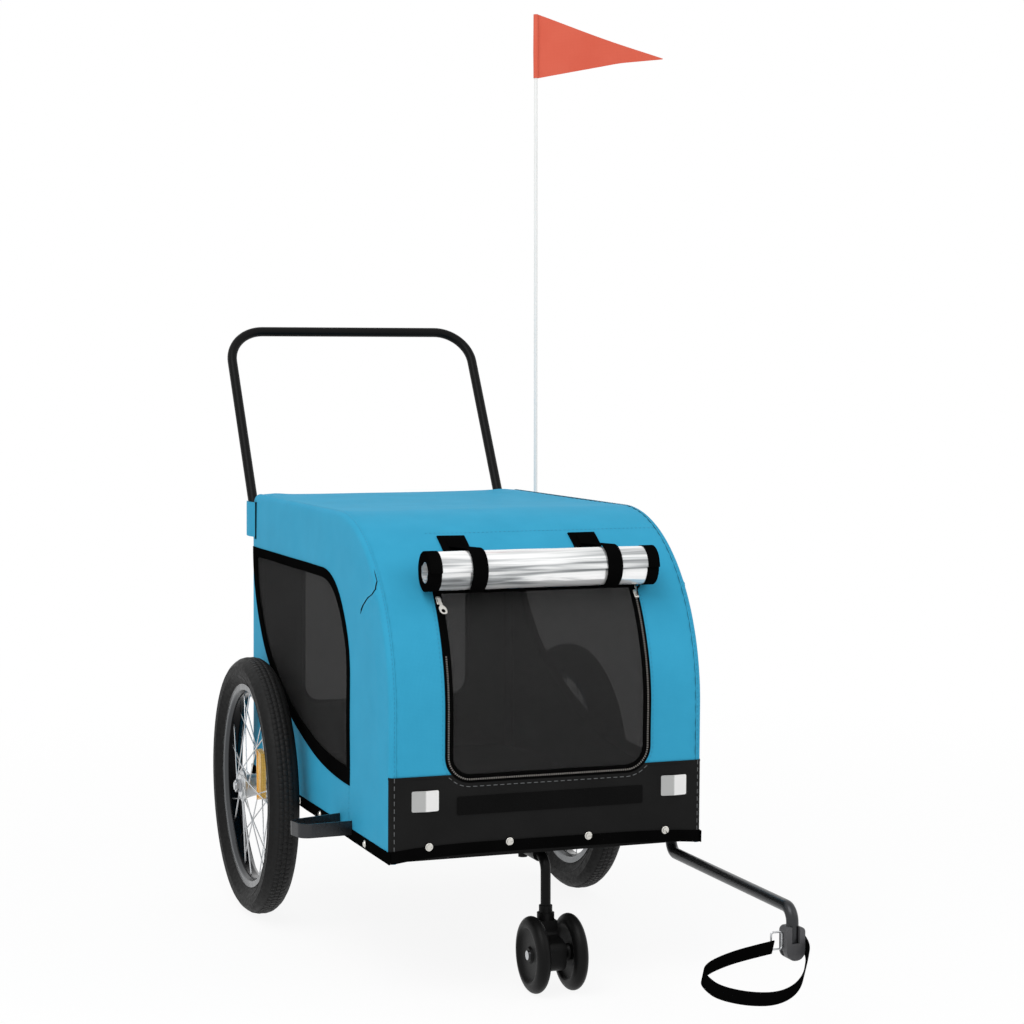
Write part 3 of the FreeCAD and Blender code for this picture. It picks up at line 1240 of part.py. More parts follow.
# Flag: a thin pole stands in a sewn pocket on the right side and lifts out.

pole_x = "(cabin_width / 2 + pocket / 2)"
pocket_block = box("pocket_block", "cabin_width / 2", "pole_back - pocket / 2",
                   "pole_low - rest_gap - cloth", "pocket",
                   "pocket", "pocket_high")
pocket_hole = cylinder("pocket_hole", "Z", "pole / 2 + fit", "pocket_high", pole_x, "pole_back",
                       "pole_low - rest_gap")
nodes["flag_pocket"] = cut("flag_pocket", pocket_block, pocket_hole)
nodes["flag_pole"] = cylinder("flag_pole", "Z", "pole / 2", "pole_top - pole_low", pole_x, "pole_back",
                              "pole_low")

flag_low = "pole_top - flag_hoist"
sleeve = cylinder("flag_sleeve", "Z", "pole / 2 + fit + flag_thick", "flag_hoist", pole_x, "pole_back",
                  flag_low)
root_x = half_width + s.pocket / 2 + s.pole / 2 + s.fit + s.flag_thick / 2
flag_sheet = extrude("flag_sheet", "front", Vector(0, s.pole_back + s.flag_thick / 2, 0), rounded([
    (root_x, s.pole_top),
    (root_x, s.pole_top - s.flag_hoist),
    (root_x + s.flag_middle, s.pole_top - s.flag_belly, s.flag_sag),
    (half_width + s.pocket / 2 + s.flag_fly, s.pole_top - s.flag_tip),
]), "flag_thick")
flag_blank = fuse("flag_blank", sleeve, flag_sheet)
pole_hole = cylinder("pole_hole", "Z", "pole / 2 + fit / 2", "flag_hoist", pole_x, "pole_back", flag_low)
nodes["flag"] = cut("flag", flag_blank, pole_hole)

# Check every object, move the origin to the middle of the footprint on the ground, and write the nodes.

doc.recompute()
for obj in doc.Objects:
    if {"Invalid", "Error", "Touched"} & set(obj.State):
        raise RuntimeError(f"{obj.Name}: {obj.State}")

footprint = FreeCAD.BoundBox()
for name, obj in nodes.items():
    obj.Label = name
    if obj.Shape.isNull() or not obj.Shape.isValid() or not obj.Shape.Solids:
        raise RuntimeError(f"{name}: no valid solid")
    if name not in ("safety_strap", "strap_ring"):
        footprint.add(obj.Shape.optimalBoundingBox(False))
strap_share = nodes["safety_strap"].Shape.Volume / (tether_length * s.tether_wide * s.tether_thick)
print(f"strap {tether_length:.1f} mm long, volume {strap_share:.4f} of its section times its length")
origin = Vector(-footprint.Center.x, -footprint.Center.y, -footprint.ZMin)
print(f"moved by {origin.x:.3f} {origin.y:.3f} {origin.z:.3f} mm")

os.makedirs("parts", exist_ok=True)
for obj in nodes.values():
    obj.Shape.translated(origin).exportStep(f"parts/{obj.Label}.step")
print(f"{len(nodes)} nodes written")
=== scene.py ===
# %% [markdown]
# # A dog bike trailer
# The trailer is a cloth cabin on a steel base. It has two spoked wheels, a small twin jockey
# wheel under its front, a cranked bar that couples it to a bicycle, a push handle and a flag.
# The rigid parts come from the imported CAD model. This script cuts and sews the cloth, winds the
# rain cover, runs the zips and gives every part the finish of its real material.

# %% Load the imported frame
import json
import math

import bmesh
import bpy
import numpy as np
from mathutils import Vector, noise
from mathutils.geometry import delaunay_2d_cdt
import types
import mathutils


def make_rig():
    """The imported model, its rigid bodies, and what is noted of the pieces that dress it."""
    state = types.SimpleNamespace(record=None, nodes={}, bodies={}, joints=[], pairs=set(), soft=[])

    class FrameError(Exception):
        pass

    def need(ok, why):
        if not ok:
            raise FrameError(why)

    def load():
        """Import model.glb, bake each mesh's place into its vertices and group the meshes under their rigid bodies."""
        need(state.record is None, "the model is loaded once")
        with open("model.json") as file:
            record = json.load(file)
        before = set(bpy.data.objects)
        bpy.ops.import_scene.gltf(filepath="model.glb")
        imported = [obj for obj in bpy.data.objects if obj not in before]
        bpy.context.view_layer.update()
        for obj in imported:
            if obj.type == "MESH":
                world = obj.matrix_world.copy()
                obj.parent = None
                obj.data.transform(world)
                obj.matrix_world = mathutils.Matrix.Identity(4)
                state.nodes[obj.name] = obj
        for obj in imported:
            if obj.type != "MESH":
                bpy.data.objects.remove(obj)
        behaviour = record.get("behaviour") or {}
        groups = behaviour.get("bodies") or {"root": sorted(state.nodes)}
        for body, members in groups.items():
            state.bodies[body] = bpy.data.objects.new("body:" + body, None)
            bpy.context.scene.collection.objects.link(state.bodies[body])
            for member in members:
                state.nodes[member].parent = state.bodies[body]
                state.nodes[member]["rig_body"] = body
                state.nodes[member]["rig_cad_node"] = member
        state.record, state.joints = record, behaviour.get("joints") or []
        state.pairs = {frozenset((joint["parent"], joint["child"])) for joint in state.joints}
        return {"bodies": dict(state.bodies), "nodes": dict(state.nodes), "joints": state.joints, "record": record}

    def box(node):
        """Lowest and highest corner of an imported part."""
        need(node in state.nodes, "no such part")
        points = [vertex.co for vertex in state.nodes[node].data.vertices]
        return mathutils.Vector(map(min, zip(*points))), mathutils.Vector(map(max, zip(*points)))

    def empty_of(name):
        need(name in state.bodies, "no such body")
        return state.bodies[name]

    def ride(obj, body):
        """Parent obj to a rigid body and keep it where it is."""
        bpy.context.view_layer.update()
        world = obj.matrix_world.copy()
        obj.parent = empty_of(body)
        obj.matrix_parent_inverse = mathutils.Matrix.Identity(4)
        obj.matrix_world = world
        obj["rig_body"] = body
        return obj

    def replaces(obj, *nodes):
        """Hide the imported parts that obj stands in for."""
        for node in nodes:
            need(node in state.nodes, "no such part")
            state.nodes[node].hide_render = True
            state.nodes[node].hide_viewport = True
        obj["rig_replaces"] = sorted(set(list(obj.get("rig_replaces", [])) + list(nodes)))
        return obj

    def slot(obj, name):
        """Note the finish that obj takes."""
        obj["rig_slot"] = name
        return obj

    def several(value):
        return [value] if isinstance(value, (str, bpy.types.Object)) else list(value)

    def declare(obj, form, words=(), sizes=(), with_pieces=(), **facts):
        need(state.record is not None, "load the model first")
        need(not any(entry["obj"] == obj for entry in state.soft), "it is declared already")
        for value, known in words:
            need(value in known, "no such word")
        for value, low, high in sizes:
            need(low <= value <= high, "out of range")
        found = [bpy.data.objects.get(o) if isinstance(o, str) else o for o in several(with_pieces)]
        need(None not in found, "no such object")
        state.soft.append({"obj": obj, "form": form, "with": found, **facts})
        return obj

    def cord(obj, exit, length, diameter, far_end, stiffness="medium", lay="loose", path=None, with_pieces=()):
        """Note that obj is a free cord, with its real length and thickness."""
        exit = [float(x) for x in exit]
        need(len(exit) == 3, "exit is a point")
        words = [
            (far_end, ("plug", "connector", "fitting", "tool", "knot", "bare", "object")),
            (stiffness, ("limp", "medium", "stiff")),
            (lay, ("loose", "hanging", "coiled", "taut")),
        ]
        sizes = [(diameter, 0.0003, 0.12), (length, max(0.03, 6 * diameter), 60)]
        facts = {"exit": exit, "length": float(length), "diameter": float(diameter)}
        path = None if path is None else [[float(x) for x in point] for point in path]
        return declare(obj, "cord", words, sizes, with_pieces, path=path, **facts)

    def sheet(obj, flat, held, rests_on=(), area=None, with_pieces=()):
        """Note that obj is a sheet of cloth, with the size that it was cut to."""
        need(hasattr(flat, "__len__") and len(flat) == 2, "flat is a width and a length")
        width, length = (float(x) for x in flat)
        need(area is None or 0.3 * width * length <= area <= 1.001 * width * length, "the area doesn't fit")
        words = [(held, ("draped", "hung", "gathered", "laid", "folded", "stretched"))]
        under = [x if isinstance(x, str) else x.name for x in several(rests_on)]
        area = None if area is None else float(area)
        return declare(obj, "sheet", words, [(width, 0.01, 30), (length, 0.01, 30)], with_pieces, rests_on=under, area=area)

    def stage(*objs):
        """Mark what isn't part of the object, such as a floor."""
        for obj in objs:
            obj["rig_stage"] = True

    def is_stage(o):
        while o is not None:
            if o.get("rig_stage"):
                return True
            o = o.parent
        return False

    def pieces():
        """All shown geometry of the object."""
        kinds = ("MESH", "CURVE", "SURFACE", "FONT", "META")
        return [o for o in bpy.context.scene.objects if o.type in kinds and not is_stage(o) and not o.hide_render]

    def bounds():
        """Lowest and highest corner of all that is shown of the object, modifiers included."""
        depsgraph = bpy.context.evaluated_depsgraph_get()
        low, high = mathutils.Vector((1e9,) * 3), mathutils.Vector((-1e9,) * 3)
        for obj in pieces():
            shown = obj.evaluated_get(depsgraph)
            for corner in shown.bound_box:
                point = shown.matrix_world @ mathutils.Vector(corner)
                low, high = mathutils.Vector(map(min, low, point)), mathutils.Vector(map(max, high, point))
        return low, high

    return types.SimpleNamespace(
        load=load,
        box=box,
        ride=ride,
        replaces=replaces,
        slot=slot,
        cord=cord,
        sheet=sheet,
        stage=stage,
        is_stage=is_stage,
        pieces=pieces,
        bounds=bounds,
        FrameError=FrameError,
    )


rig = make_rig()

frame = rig.load()
cad_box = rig.bounds()
nodes = frame["nodes"]
scene = bpy.context.scene
MM = 0.001
SIDES = (("left", -1), ("right", 1))
ACROSS = Vector((1, 0, 0))
kick_low, kick_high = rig.box("kick_panel")
MIDDLE = (kick_low.x + kick_high.x) / 2
FRONT = kick_low.y


def at(x, y, z):
    """A place in millimetres: across from the cabin's middle, back from its front, up from the ground."""
    return Vector((MIDDLE + x * MM, FRONT + y * MM, z * MM))


def clamp(share):
    """A share, kept between 0 and 1."""
    return min(1.0, max(0.0, share))


def rectangle(x_low, x_high, v_low, v_high):
    """The four corners of a flat rectangle."""
    return [(x_low, v_low), (x_high, v_low), (x_high, v_high), (x_low, v_high)]


def new_object(name, data):
    """An object in the scene that shows some data."""
    made = bpy.data.objects.new(name, data)
    scene.collection.objects.link(made)
    return made


print(f"{len(nodes)} CAD nodes on {len(frame['bodies'])} bodies")

# %% [markdown]
# ## Camera
# The photograph was taken from the front left, a little above the roof, with a long lens. The
# place, turn and lens were solved from points of the trailer whose sizes are known, so the render
# can be laid over the photograph.

# %% Camera
LOOKS_DOWN, LOOKS_RIGHT = 3.546, 20.061  # degrees
camera = new_object("camera", bpy.data.cameras.new("camera"))
camera.data.sensor_width = 36
camera.data.lens = 83.3
camera.location = at(-1146.17, -2992.81, 853.92)
camera.rotation_euler = (math.radians(90 - LOOKS_DOWN), 0, math.radians(-LOOKS_RIGHT))
scene.camera = camera
print("camera stands", round((camera.location - at(0, 380, 400)).length, 2), "m from the cabin")

# %% [markdown]
# ## Safety strap
# A flat webbing strap leaves the coupling, hangs in a wide loop and comes back to a wire ring.
# A strap is a cord as far as its line goes, so the route is a NURBS spline with a few control
# points in one tilted plane. A flat section is then carried along the points of that spline.


# %% Make and settle pieces
def set_pattern(mesh, uvs):
    """Keeps the flat pattern, in metres, as a UV map, with one place for each point of the mesh."""
    layer = mesh.uv_layers.new(name="pattern")
    for loop in mesh.loops:
        layer.data[loop.index].uv = uvs[loop.vertex_index]


def new_piece(name, points, faces, uvs=None):
    """A smooth mesh object whose place is in its mesh."""
    mesh = bpy.data.meshes.new(name)
    mesh.from_pydata(points, [], faces)
    if uvs is not None:
        set_pattern(mesh, uvs)
    mesh.shade_smooth()
    return new_object(name, mesh)


def face_outward(piece, shell, sharp):
    """Writes a shell into a piece with its faces outward; edges above an angle in degrees are sharp."""
    bmesh.ops.recalc_face_normals(shell, faces=shell.faces)
    shell.to_mesh(piece.data)
    shell.free()
    piece.data.shade_smooth()
    piece.data.set_sharp_from_angle(angle=math.radians(sharp))


def drawn_mesh(piece):
    """A new mesh of what an object shows, with its modifiers or as a drawn curve."""
    bpy.context.view_layer.update()
    return bpy.data.meshes.new_from_object(piece.evaluated_get(bpy.context.evaluated_depsgraph_get()))


def settle(piece, slot, *stands_for, body="chassis"):
    """The piece rides on a body, takes its finish from a slot and stands for CAD nodes."""
    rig.ride(piece, body)
    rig.slot(piece, slot)
    if stands_for:
        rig.replaces(piece, *stands_for)
    print(f"{piece.name}: {len(piece.data.polygons)} faces on {body}")
    return piece


# %% Carry a section along a line
# The section of a strap as shares (across, up) of its width and thickness: its edges are rounded.
SECTION = [(-0.5, -0.2), (-0.47, -0.5), (0.47, -0.5), (0.5, -0.2),
           (0.5, 0.2), (0.47, 0.5), (-0.47, 0.5), (-0.5, 0.2)]


def smooth_line(name, route):
    """Points along the NURBS spline that has the route's points as its control points."""
    curve = bpy.data.curves.new(name, "CURVE")
    curve.dimensions = "3D"
    spline = curve.splines.new("NURBS")
    spline.points.add(len(route) - 1)
    for point, place in zip(spline.points, route):
        point.co = (*place, 1)
    spline.order_u = 3
    spline.use_endpoint_u = True
    spline.resolution_u = 8
    line = new_object(name, curve)
    drawn = drawn_mesh(line)
    points = [vertex.co.copy() for vertex in drawn.vertices]
    bpy.data.objects.remove(line)
    bpy.data.meshes.remove(drawn)
    return points


def sweep(name, points, wide_way, wide, thick):
    """A flat strap along a line; wide_way is the direction of its width."""
    verts, uvs, run = [], [], 0.0
    for i, point in enumerate(points):
        before, after = points[max(i - 1, 0)], points[min(i + 1, len(points) - 1)]
        face_way = (after - before).normalized().cross(wide_way).normalized()
        run += (point - before).length
        for across, up in SECTION:
            verts.append(point + (wide_way * across * wide + face_way * up * thick) * MM)
            uvs.append((across * wide * MM, run))
    count = len(SECTION)
    faces = [(ring + k, ring + count + k, ring + count + (k + 1) % count, ring + (k + 1) % count)
             for ring in range(0, len(verts) - count, count) for k in range(count)]
    faces += [tuple(range(count)), tuple(range(len(verts) - 1, len(verts) - count - 1, -1))]
    piece = new_piece(name, verts, faces, uvs)
    shell = bmesh.new()
    shell.from_mesh(piece.data)
    face_outward(piece, shell, 50)
    return piece


# %% Safety strap
STRAP_ROUTE = [(14.3, 9), (17.3, -13), (0, -44), (-27, -85), (-64, -105), (-103, -101), (-138, -83),
               (-147, -62), (-146, -47), (-130, -33), (-96, -20), (-62, -12), (-30, -5.9)]
STRAP_WIDE, STRAP_THICK = 21, 2
droop = math.radians(24)
strap_way = Vector((0, math.cos(droop), math.sin(droop)))
strap_up = Vector((0, -math.sin(droop), math.cos(droop)))
strap_start = at(212, -315, 119.5)
strap_route = [strap_start + Vector((u * MM, 0, 0)) + strap_way * v * MM for u, v in STRAP_ROUTE]
strap_line = smooth_line("strap_line", strap_route)
safety_strap = sweep("safety_strap_webbing", strap_line, strap_up, STRAP_WIDE, STRAP_THICK)
strap_length = sum((b - a).length for a, b in zip(strap_line, strap_line[1:]))
print("safety strap", round(strap_length, 4), "m long")

# %% [markdown]
# ## Studio
# The trailer stands on a plain pale floor in soft light. The world gives an even light, and two
# large lamps above the front make the roof a little brighter than the walls. The camera sees a
# white background because the world and the floor show white to camera rays. The floor mixes
# that white with its own lit surface, so that it keeps the shadow, and the lit share fades out
# away from the trailer, so that no horizon shows.


# %% Node and colour helpers
def linear(code):
    """Turns an sRGB hex code into the linear colour that shaders take."""
    parts = [int(code[i:i + 2], 16) / 255 for i in (1, 3, 5)]
    return (*[c / 12.92 if c <= 0.04045 else ((c + 0.055) / 1.055) ** 2.4 for c in parts], 1.0)


def add(tree, kind, inputs=None, **settings):
    """Adds a node with its settings; its inputs are values, or sockets to link from."""
    made = tree.nodes.new(kind)
    for name, value in settings.items():
        setattr(made, name, value)
    for name, value in (inputs or {}).items():
        if isinstance(value, bpy.types.NodeSocket):
            tree.links.new(value, made.inputs[name])
        else:
            made.inputs[name].default_value = value
    return made


def calculate(tree, operation, *values):
    """What a Math node makes of some values."""
    return add(tree, "ShaderNodeMath", dict(enumerate(values)), operation=operation).outputs[0]


def ranged(tree, value, start, end, low=0.0, high=1.0, **settings):
    """Turns values between start and end into values between low and high."""
    limits = {"Value": value, "From Min": start, "From Max": end, "To Min": low, "To Max": high}
    return add(tree, "ShaderNodeMapRange", limits, **settings).outputs[0]


def place_of(tree, kind):
    """Coordinates of a point (Object) or the way that its face looks (Normal)."""
    return add(tree, "ShaderNodeTexCoord").outputs[kind]


def seen_rays(tree):
    """1 for rays that show the background: from the camera, in reflections and through glass."""
    path = add(tree, "ShaderNodeLightPath").outputs
    direct = calculate(tree, "MAXIMUM", path["Is Camera Ray"], path["Is Glossy Ray"])
    return calculate(tree, "MAXIMUM", direct, path["Is Transmission Ray"])


# %% World, floor and lamps
ROOM_LIGHT = 0.74
FLOOR_GLOW = 0.9    # share of the floor's look that is plain white beside the trailer
FLOOR_REACH = 40.0
WHITE = (1, 1, 1, 1)
LAMPS = (("key_lamp", (-1600, -1300, 3600), 2.6, 60), ("fill_lamp", (2600, -1800, 2600), 2.4, 10))
scene.view_settings.view_transform = "Standard"
scene.world = bpy.data.worlds.new("studio")
scene.world.use_nodes = True
tree = scene.world.node_tree
sky = tree.nodes["Background"].inputs
sky["Color"].default_value = WHITE
tree.links.new(calculate(tree, "MULTIPLY_ADD", seen_rays(tree), 1 - ROOM_LIGHT, ROOM_LIGHT), sky["Strength"])

floor_paper = bpy.data.materials.new("studio_paper")
floor_paper.use_nodes = True
tree = floor_paper.node_tree
tree.nodes.clear()
distance = add(tree, "ShaderNodeVectorMath", {0: place_of(tree, "Object")}, operation="LENGTH").outputs["Value"]
fade = ranged(tree, distance, 0.9, 2.6, FLOOR_GLOW, 1.0, interpolation_type="SMOOTHSTEP")
glow_share = calculate(tree, "MULTIPLY", seen_rays(tree), fade)
paper = add(tree, "ShaderNodeBsdfDiffuse", {"Color": linear("#FAFAFA")}).outputs[0]
glow = add(tree, "ShaderNodeEmission", {"Color": WHITE, "Strength": 1.0}).outputs[0]
mixed = add(tree, "ShaderNodeMixShader", {0: glow_share, 1: paper, 2: glow}).outputs[0]
add(tree, "ShaderNodeOutputMaterial", {"Surface": mixed})
corners = [(x, y, 0) for x, y in rectangle(-FLOOR_REACH, FLOOR_REACH, -FLOOR_REACH, FLOOR_REACH)]
floor = new_piece("studio_floor", corners, [(0, 1, 2, 3)])
floor.data.materials.append(floor_paper)
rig.stage(floor)

for name, place, size, power in LAMPS:
    lamp = new_object(name, bpy.data.lights.new(name, "AREA"))
    lamp.data.size = size
    lamp.data.energy = power
    lamp.location = at(*place)
    lamp.rotation_euler = (at(0, 300, 350) - lamp.location).to_track_quat("-Z", "Y").to_euler()
print("floor, world and", len(LAMPS), "lamps")

# %% [markdown]
# ## Finishes
# Each finish starts from the real material. Cloth reads the flat pattern that it was cut from,
# as a UV map in metres, so its weave follows the panel. Rigid parts read Object coordinates.
# Threads are finer than a pixel of the photograph, so the weaves are drawn a few times coarser.


# %% What finishes are made of
def start_finish(name, colour, roughness, **sockets):
    """A material with a Principled surface; the sockets hold what is the same all over it."""
    material = bpy.data.materials.new(name)
    material.use_nodes = True
    surface = material.node_tree.nodes["Principled BSDF"].inputs
    surface["Base Color"].default_value = linear(colour)
    surface["Roughness"].default_value = roughness
    for socket, value in sockets.items():
        surface[socket.replace("_", " ")].default_value = value
    return material, material.node_tree, surface


def flat_place(tree):
    """The place in the flat pattern."""
    return add(tree, "ShaderNodeUVMap", uv_map="pattern").outputs["UV"]


def cloudy(tree, place, size, detail=2.0, distortion=0.0):
    """Values that wander in patches of a size in millimetres."""
    inputs = {"Vector": place, "Scale": 1 / (size * MM), "Detail": detail, "Distortion": distortion}
    return add(tree, "ShaderNodeTexNoise", inputs).outputs["Fac"]


def cells(tree, place, size, randomness, **settings):
    """How far a point is from the middle of its cell, in cells of a size in millimetres."""
    inputs = {"Vector": place, "Scale": 1 / (size * MM), "Randomness": randomness}
    return add(tree, "ShaderNodeTexVoronoi", inputs, **settings).outputs["Distance"]


def drawn_out(tree, place, scale):
    """A place with its three coordinates scaled apart, so that patches become long."""
    return add(tree, "ShaderNodeMapping", {"Vector": place, "Scale": scale}).outputs[0]


def tint(tree, surface, share, first, second):
    """Colours a surface from a first to a second colour by a share."""
    mix = add(tree, "ShaderNodeMix", {0: share, 6: linear(first), 7: linear(second)}, data_type="RGBA")
    tree.links.new(mix.outputs[2], surface["Base Color"])


def relief(tree, surface, height, depth, strength, over=None):
    """Raises a surface by a height map, with a depth in millimetres, over another relief."""
    inputs = {"Height": height, "Distance": depth * MM, "Strength": strength}
    bump = add(tree, "ShaderNodeBump", {**inputs, "Normal": over} if over else inputs).outputs[0]
    tree.links.new(bump, surface["Normal"])
    return bump


def uneven(tree, surface, size, gloss, depth):
    """Lets the gloss and the height wander in patches of a size in millimetres."""
    patch = cloudy(tree, place_of(tree, "Object"), size, 4.0)
    tree.links.new(ranged(tree, patch, 0.3, 0.7, *gloss), surface["Roughness"])
    relief(tree, surface, patch, depth, 0.6)


def plain(name, colour, roughness, size, gloss, depth, **sockets):
    """A finish of one colour that is a little uneven."""
    material, tree, surface = start_finish(name, colour, roughness, **sockets)
    uneven(tree, surface, size, gloss, depth)
    return material


def sideways(tree):
    """How far a face looks to the right."""
    return add(tree, "ShaderNodeSeparateXYZ", {0: place_of(tree, "Normal")}).outputs["X"]


def tint_by_side(tree, surface, start, end, edge_on, side_on):
    """Colours faces by how far they look to either side: a painted light and shade."""
    tint(tree, surface, ranged(tree, calculate(tree, "ABSOLUTE", sideways(tree)), start, end), edge_on, side_on)


# %% Woven finishes
WAVE = math.pi / 10  # a wave texture's scale is this over the length of one wave


def woven(name, dark, light, thread, depth, specular):
    """Plain weave: threads over and under each other, soft creases and a slow change of shade."""
    material, tree, surface = start_finish(name, light, 0.62, Specular_IOR_Level=specular)
    pattern = flat_place(tree)
    warp, weft = [add(tree, "ShaderNodeTexWave", {"Vector": pattern, "Scale": WAVE / (thread * MM)},
                      bands_direction=way).outputs["Fac"] for way in ("X", "Y")]
    threads = calculate(tree, "MULTIPLY", warp, weft)
    tone = calculate(tree, "MULTIPLY_ADD", threads, 0.35, cloudy(tree, pattern, 60, 3.0))
    tint(tree, surface, tone, dark, light)
    creases = relief(tree, surface, cloudy(tree, pattern, 90), 5, 0.25)
    relief(tree, surface, threads, depth, 0.5, over=creases)
    return material


# PVC-coated polyester: close threads under a thin coating, so a soft even gloss and a faint grid.
blue_cloth = woven("coated_polyester_blue", "#3095BA", "#39A1C7", 1.8, 0.12, 0.06)
black_cloth = woven("coated_polyester_black", "#101010", "#1B1B1B", 1.8, 0.15, 0.08)
# The inner face of the cloth and its cut edges are drawn a plain dark grey.
cloth_back = woven("cloth_back_coating", "#26282A", "#323436", 1.8, 0.1, 0.1)
# Flag nylon is thin and plain.
flag_nylon = woven("ripstop_nylon_orange", "#D0553F", "#DC6751", 2.4, 0.05, 0.2)
# Polypropylene webbing: coarse ribs across the strap, dull and very dark.
black_webbing = woven("polypropylene_webbing", "#040404", "#0B0B0B", 2.6, 0.5, 0.0)
# Hook tape: a dense field of short stiff hooks that swallows the light.
hook_tape = woven("hook_tape_black", "#040404", "#0D0D0D", 2.2, 0.8, 0.05)
# Thread is glossier than the cloth and stands out by its shade.
blue_thread, grey_thread = [
    plain(f"polyester_thread_{shade}", colour, 0.5, 1.5, (0.4, 0.65), 0.1, Specular_IOR_Level=0.2)
    for shade, colour in (("blue", "#2E8BB0"), ("grey", "#5E6061"))]

# Knitted polyester mesh: a dark net that shows what is behind it only faintly. The real holes
# are finer than a pixel, so each hole that is drawn stands for several.
net_black, tree, surface = start_finish("knitted_mesh_black", "#2D2D2D", 0.8, Specular_IOR_Level=0.1)
holes = cells(tree, flat_place(tree), 2.6, 0.0, voronoi_dimensions="2D")
tree.links.new(ranged(tree, holes, 0.2, 0.45, 0.5, 0.7), surface["Alpha"])
relief(tree, surface, holes, 0.4, 0.6)
print("woven finishes ready")

# %% Metal finishes
# Powder-coated steel: a smooth black skin with a faint orange-peel ripple and soft highlights.
black_steel = plain("powder_coated_steel", "#0B0B0B", 0.36, 3, (0.3, 0.44), 0.05, Specular_IOR_Level=0.1)
# The coat of the tow bar and the wheel guards is dark grey with metal flakes, so their edges
# catch light lines.
grey_steel = plain("metallic_grey_coat", "#37383A", 0.3, 4, (0.26, 0.34), 0.006, Metallic=0.75)
# Rims: aluminium with painted reflection. The faces that look along the axle, the side walls, are painted bright. The
# bed between the side walls is painted nearly black, for the dark that the metal reflects there.
rim_alloy, tree, surface = start_finish("anodised_rim_aluminium", "#7A7C7E", 0.24, Metallic=1.0)
uneven(tree, surface, 14, (0.16, 0.3), 0.02)
tint_by_side(tree, surface, 0.35, 0.8, "#1A1A1B", "#626466")
# Stainless spokes are drawn wire: bright, but less sharp than chrome.
wire = plain("stainless_wire", "#C9CBCD", 0.22, 5, (0.16, 0.3), 0.01, Metallic=1.0)
# Cast and turned aluminium of the hubs: a fine satin surface.
alloy = plain("satin_aluminium", "#CDCFD0", 0.34, 2, (0.28, 0.42), 0.03, Metallic=1.0)
# Zinc plating on bolts, nuts and axles: a cool grey metal with cloudy patches.
zinc = plain("zinc_plated_steel", "#C2C4C7", 0.32, 4, (0.22, 0.42), 0.02, Metallic=1.0)
# Nickel-plated studs and zip sliders.
nickel = plain("nickel_plated_brass", "#D0CEC8", 0.18, 3, (0.12, 0.26), 0.02, Metallic=1.0)
# Zip teeth: moulded grey acetal with a metallic gleam.
teeth_grey = plain("acetal_teeth_grey", "#7E7A76", 0.35, 3, (0.28, 0.45), 0.03, Metallic=0.4)
print("metal finishes ready")

# %% Plastic, rubber and film finishes
# Tyre rubber: dull black with a fine grain. Faces that don't look to the side, the tread, are painted greyer as a
# painted highlight.
rubber, tree, surface = start_finish("tyre_rubber", "#0E0E0E", 0.6, Specular_IOR_Level=0.15)
tint_by_side(tree, surface, 0.45, 0.85, "#1F1F1F", "#0E0E0E")
uneven(tree, surface, 5, (0.5, 0.72), 0.12)
# Injection-moulded black ABS: a spark-eroded grain, half dull.
black_plastic = plain("moulded_abs_black", "#0B0B0B", 0.42, 1.6, (0.36, 0.52), 0.06, Specular_IOR_Level=0.12)
# The coupling is a grey glass-filled nylon moulding with a slightly cloudy skin.
grey_plastic = plain("glass_filled_nylon_grey", "#565658", 0.45, 2, (0.38, 0.55), 0.08, Specular_IOR_Level=0.2)
# Floor board: brown hardboard with pressed fibres.
board = plain("hardboard", "#2A2624", 0.7, 6, (0.6, 0.85), 0.2)
# Amber acrylic reflector: clear orange over rows of small prisms that throw the light back.
amber, tree, surface = start_finish("amber_acrylic", "#E8A02C", 0.15, Coat_Weight=0.6)
prisms = cells(tree, place_of(tree, "Object"), 4, 0.1)
tint(tree, surface, prisms, "#FFD778", "#E3A12C")
relief(tree, surface, prisms, 1.2, 0.8)
# Retroreflective tape: tiny prisms under a clear face throw the light back. Its colour is painted by the way a face
# looks: the left slope of a creased patch is grey as painted shade, and the right slope is white as painted highlight.
silver_tape, tree, surface = start_finish("retroreflective_tape", "#C4C5C4", 0.34, Specular_IOR_Level=0.3)
uneven(tree, surface, 1.5, (0.28, 0.42), 0.03)
tint(tree, surface, ranged(tree, sideways(tree), -0.06, 0.06), "#AEAFAE", "#E8E8E7")
# White fibreglass rod: smooth, with faint long fibres under the gloss.
UNIT = 1 / MM        # size of a cloud where the coordinates are already scaled
white_rod, tree, surface = start_finish("fibreglass_white", "#EDEDEB", 0.3)
fibres = drawn_out(tree, place_of(tree, "Object"), (1 / MM, 1 / MM, 1 / (60 * MM)))
tint(tree, surface, cloudy(tree, fibres, UNIT), "#DEDEDC", "#F6F6F5")

# Clear PVC film, rolled up in many turns, looks silver: its silver and the long grey and white streaks where the turns
# touch and part are painted reflection. The streaks follow the roll, so they read its flat pattern.
film, tree, surface = start_finish("clear_pvc_film", "#D8DADB", 0.12, Metallic=0.45, Coat_Weight=0.8)
turns_of_film = drawn_out(tree, flat_place(tree), (1 / (380 * MM), 1 / (19 * MM), 1))
streaks = cloudy(tree, turns_of_film, UNIT, 3.0, 1.1)
ramp = add(tree, "ShaderNodeValToRGB", {"Fac": streaks})
stops = ramp.color_ramp.elements
stops[0].position, stops[1].position = 0.35, 0.6
stops[0].color, stops[1].color = linear("#6E7173"), linear("#FFFFFF")
for place, colour in ((0.44, "#B3B6B7"), (0.51, "#EEEFEF")):
    stops.new(place).color = linear(colour)
tree.links.new(ramp.outputs["Color"], surface["Base Color"])
relief(tree, surface, streaks, 4, 0.7)
print("plastic finishes ready")

safety_strap.data.materials.append(black_webbing)
settle(safety_strap, "webbing_black", "safety_strap", body="hitch")
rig.cord(safety_strap, exit=strap_line[0], length=strap_length, diameter=STRAP_WIDE * MM, far_end="object",
        stiffness="limp", lay="hanging", path=strap_line)

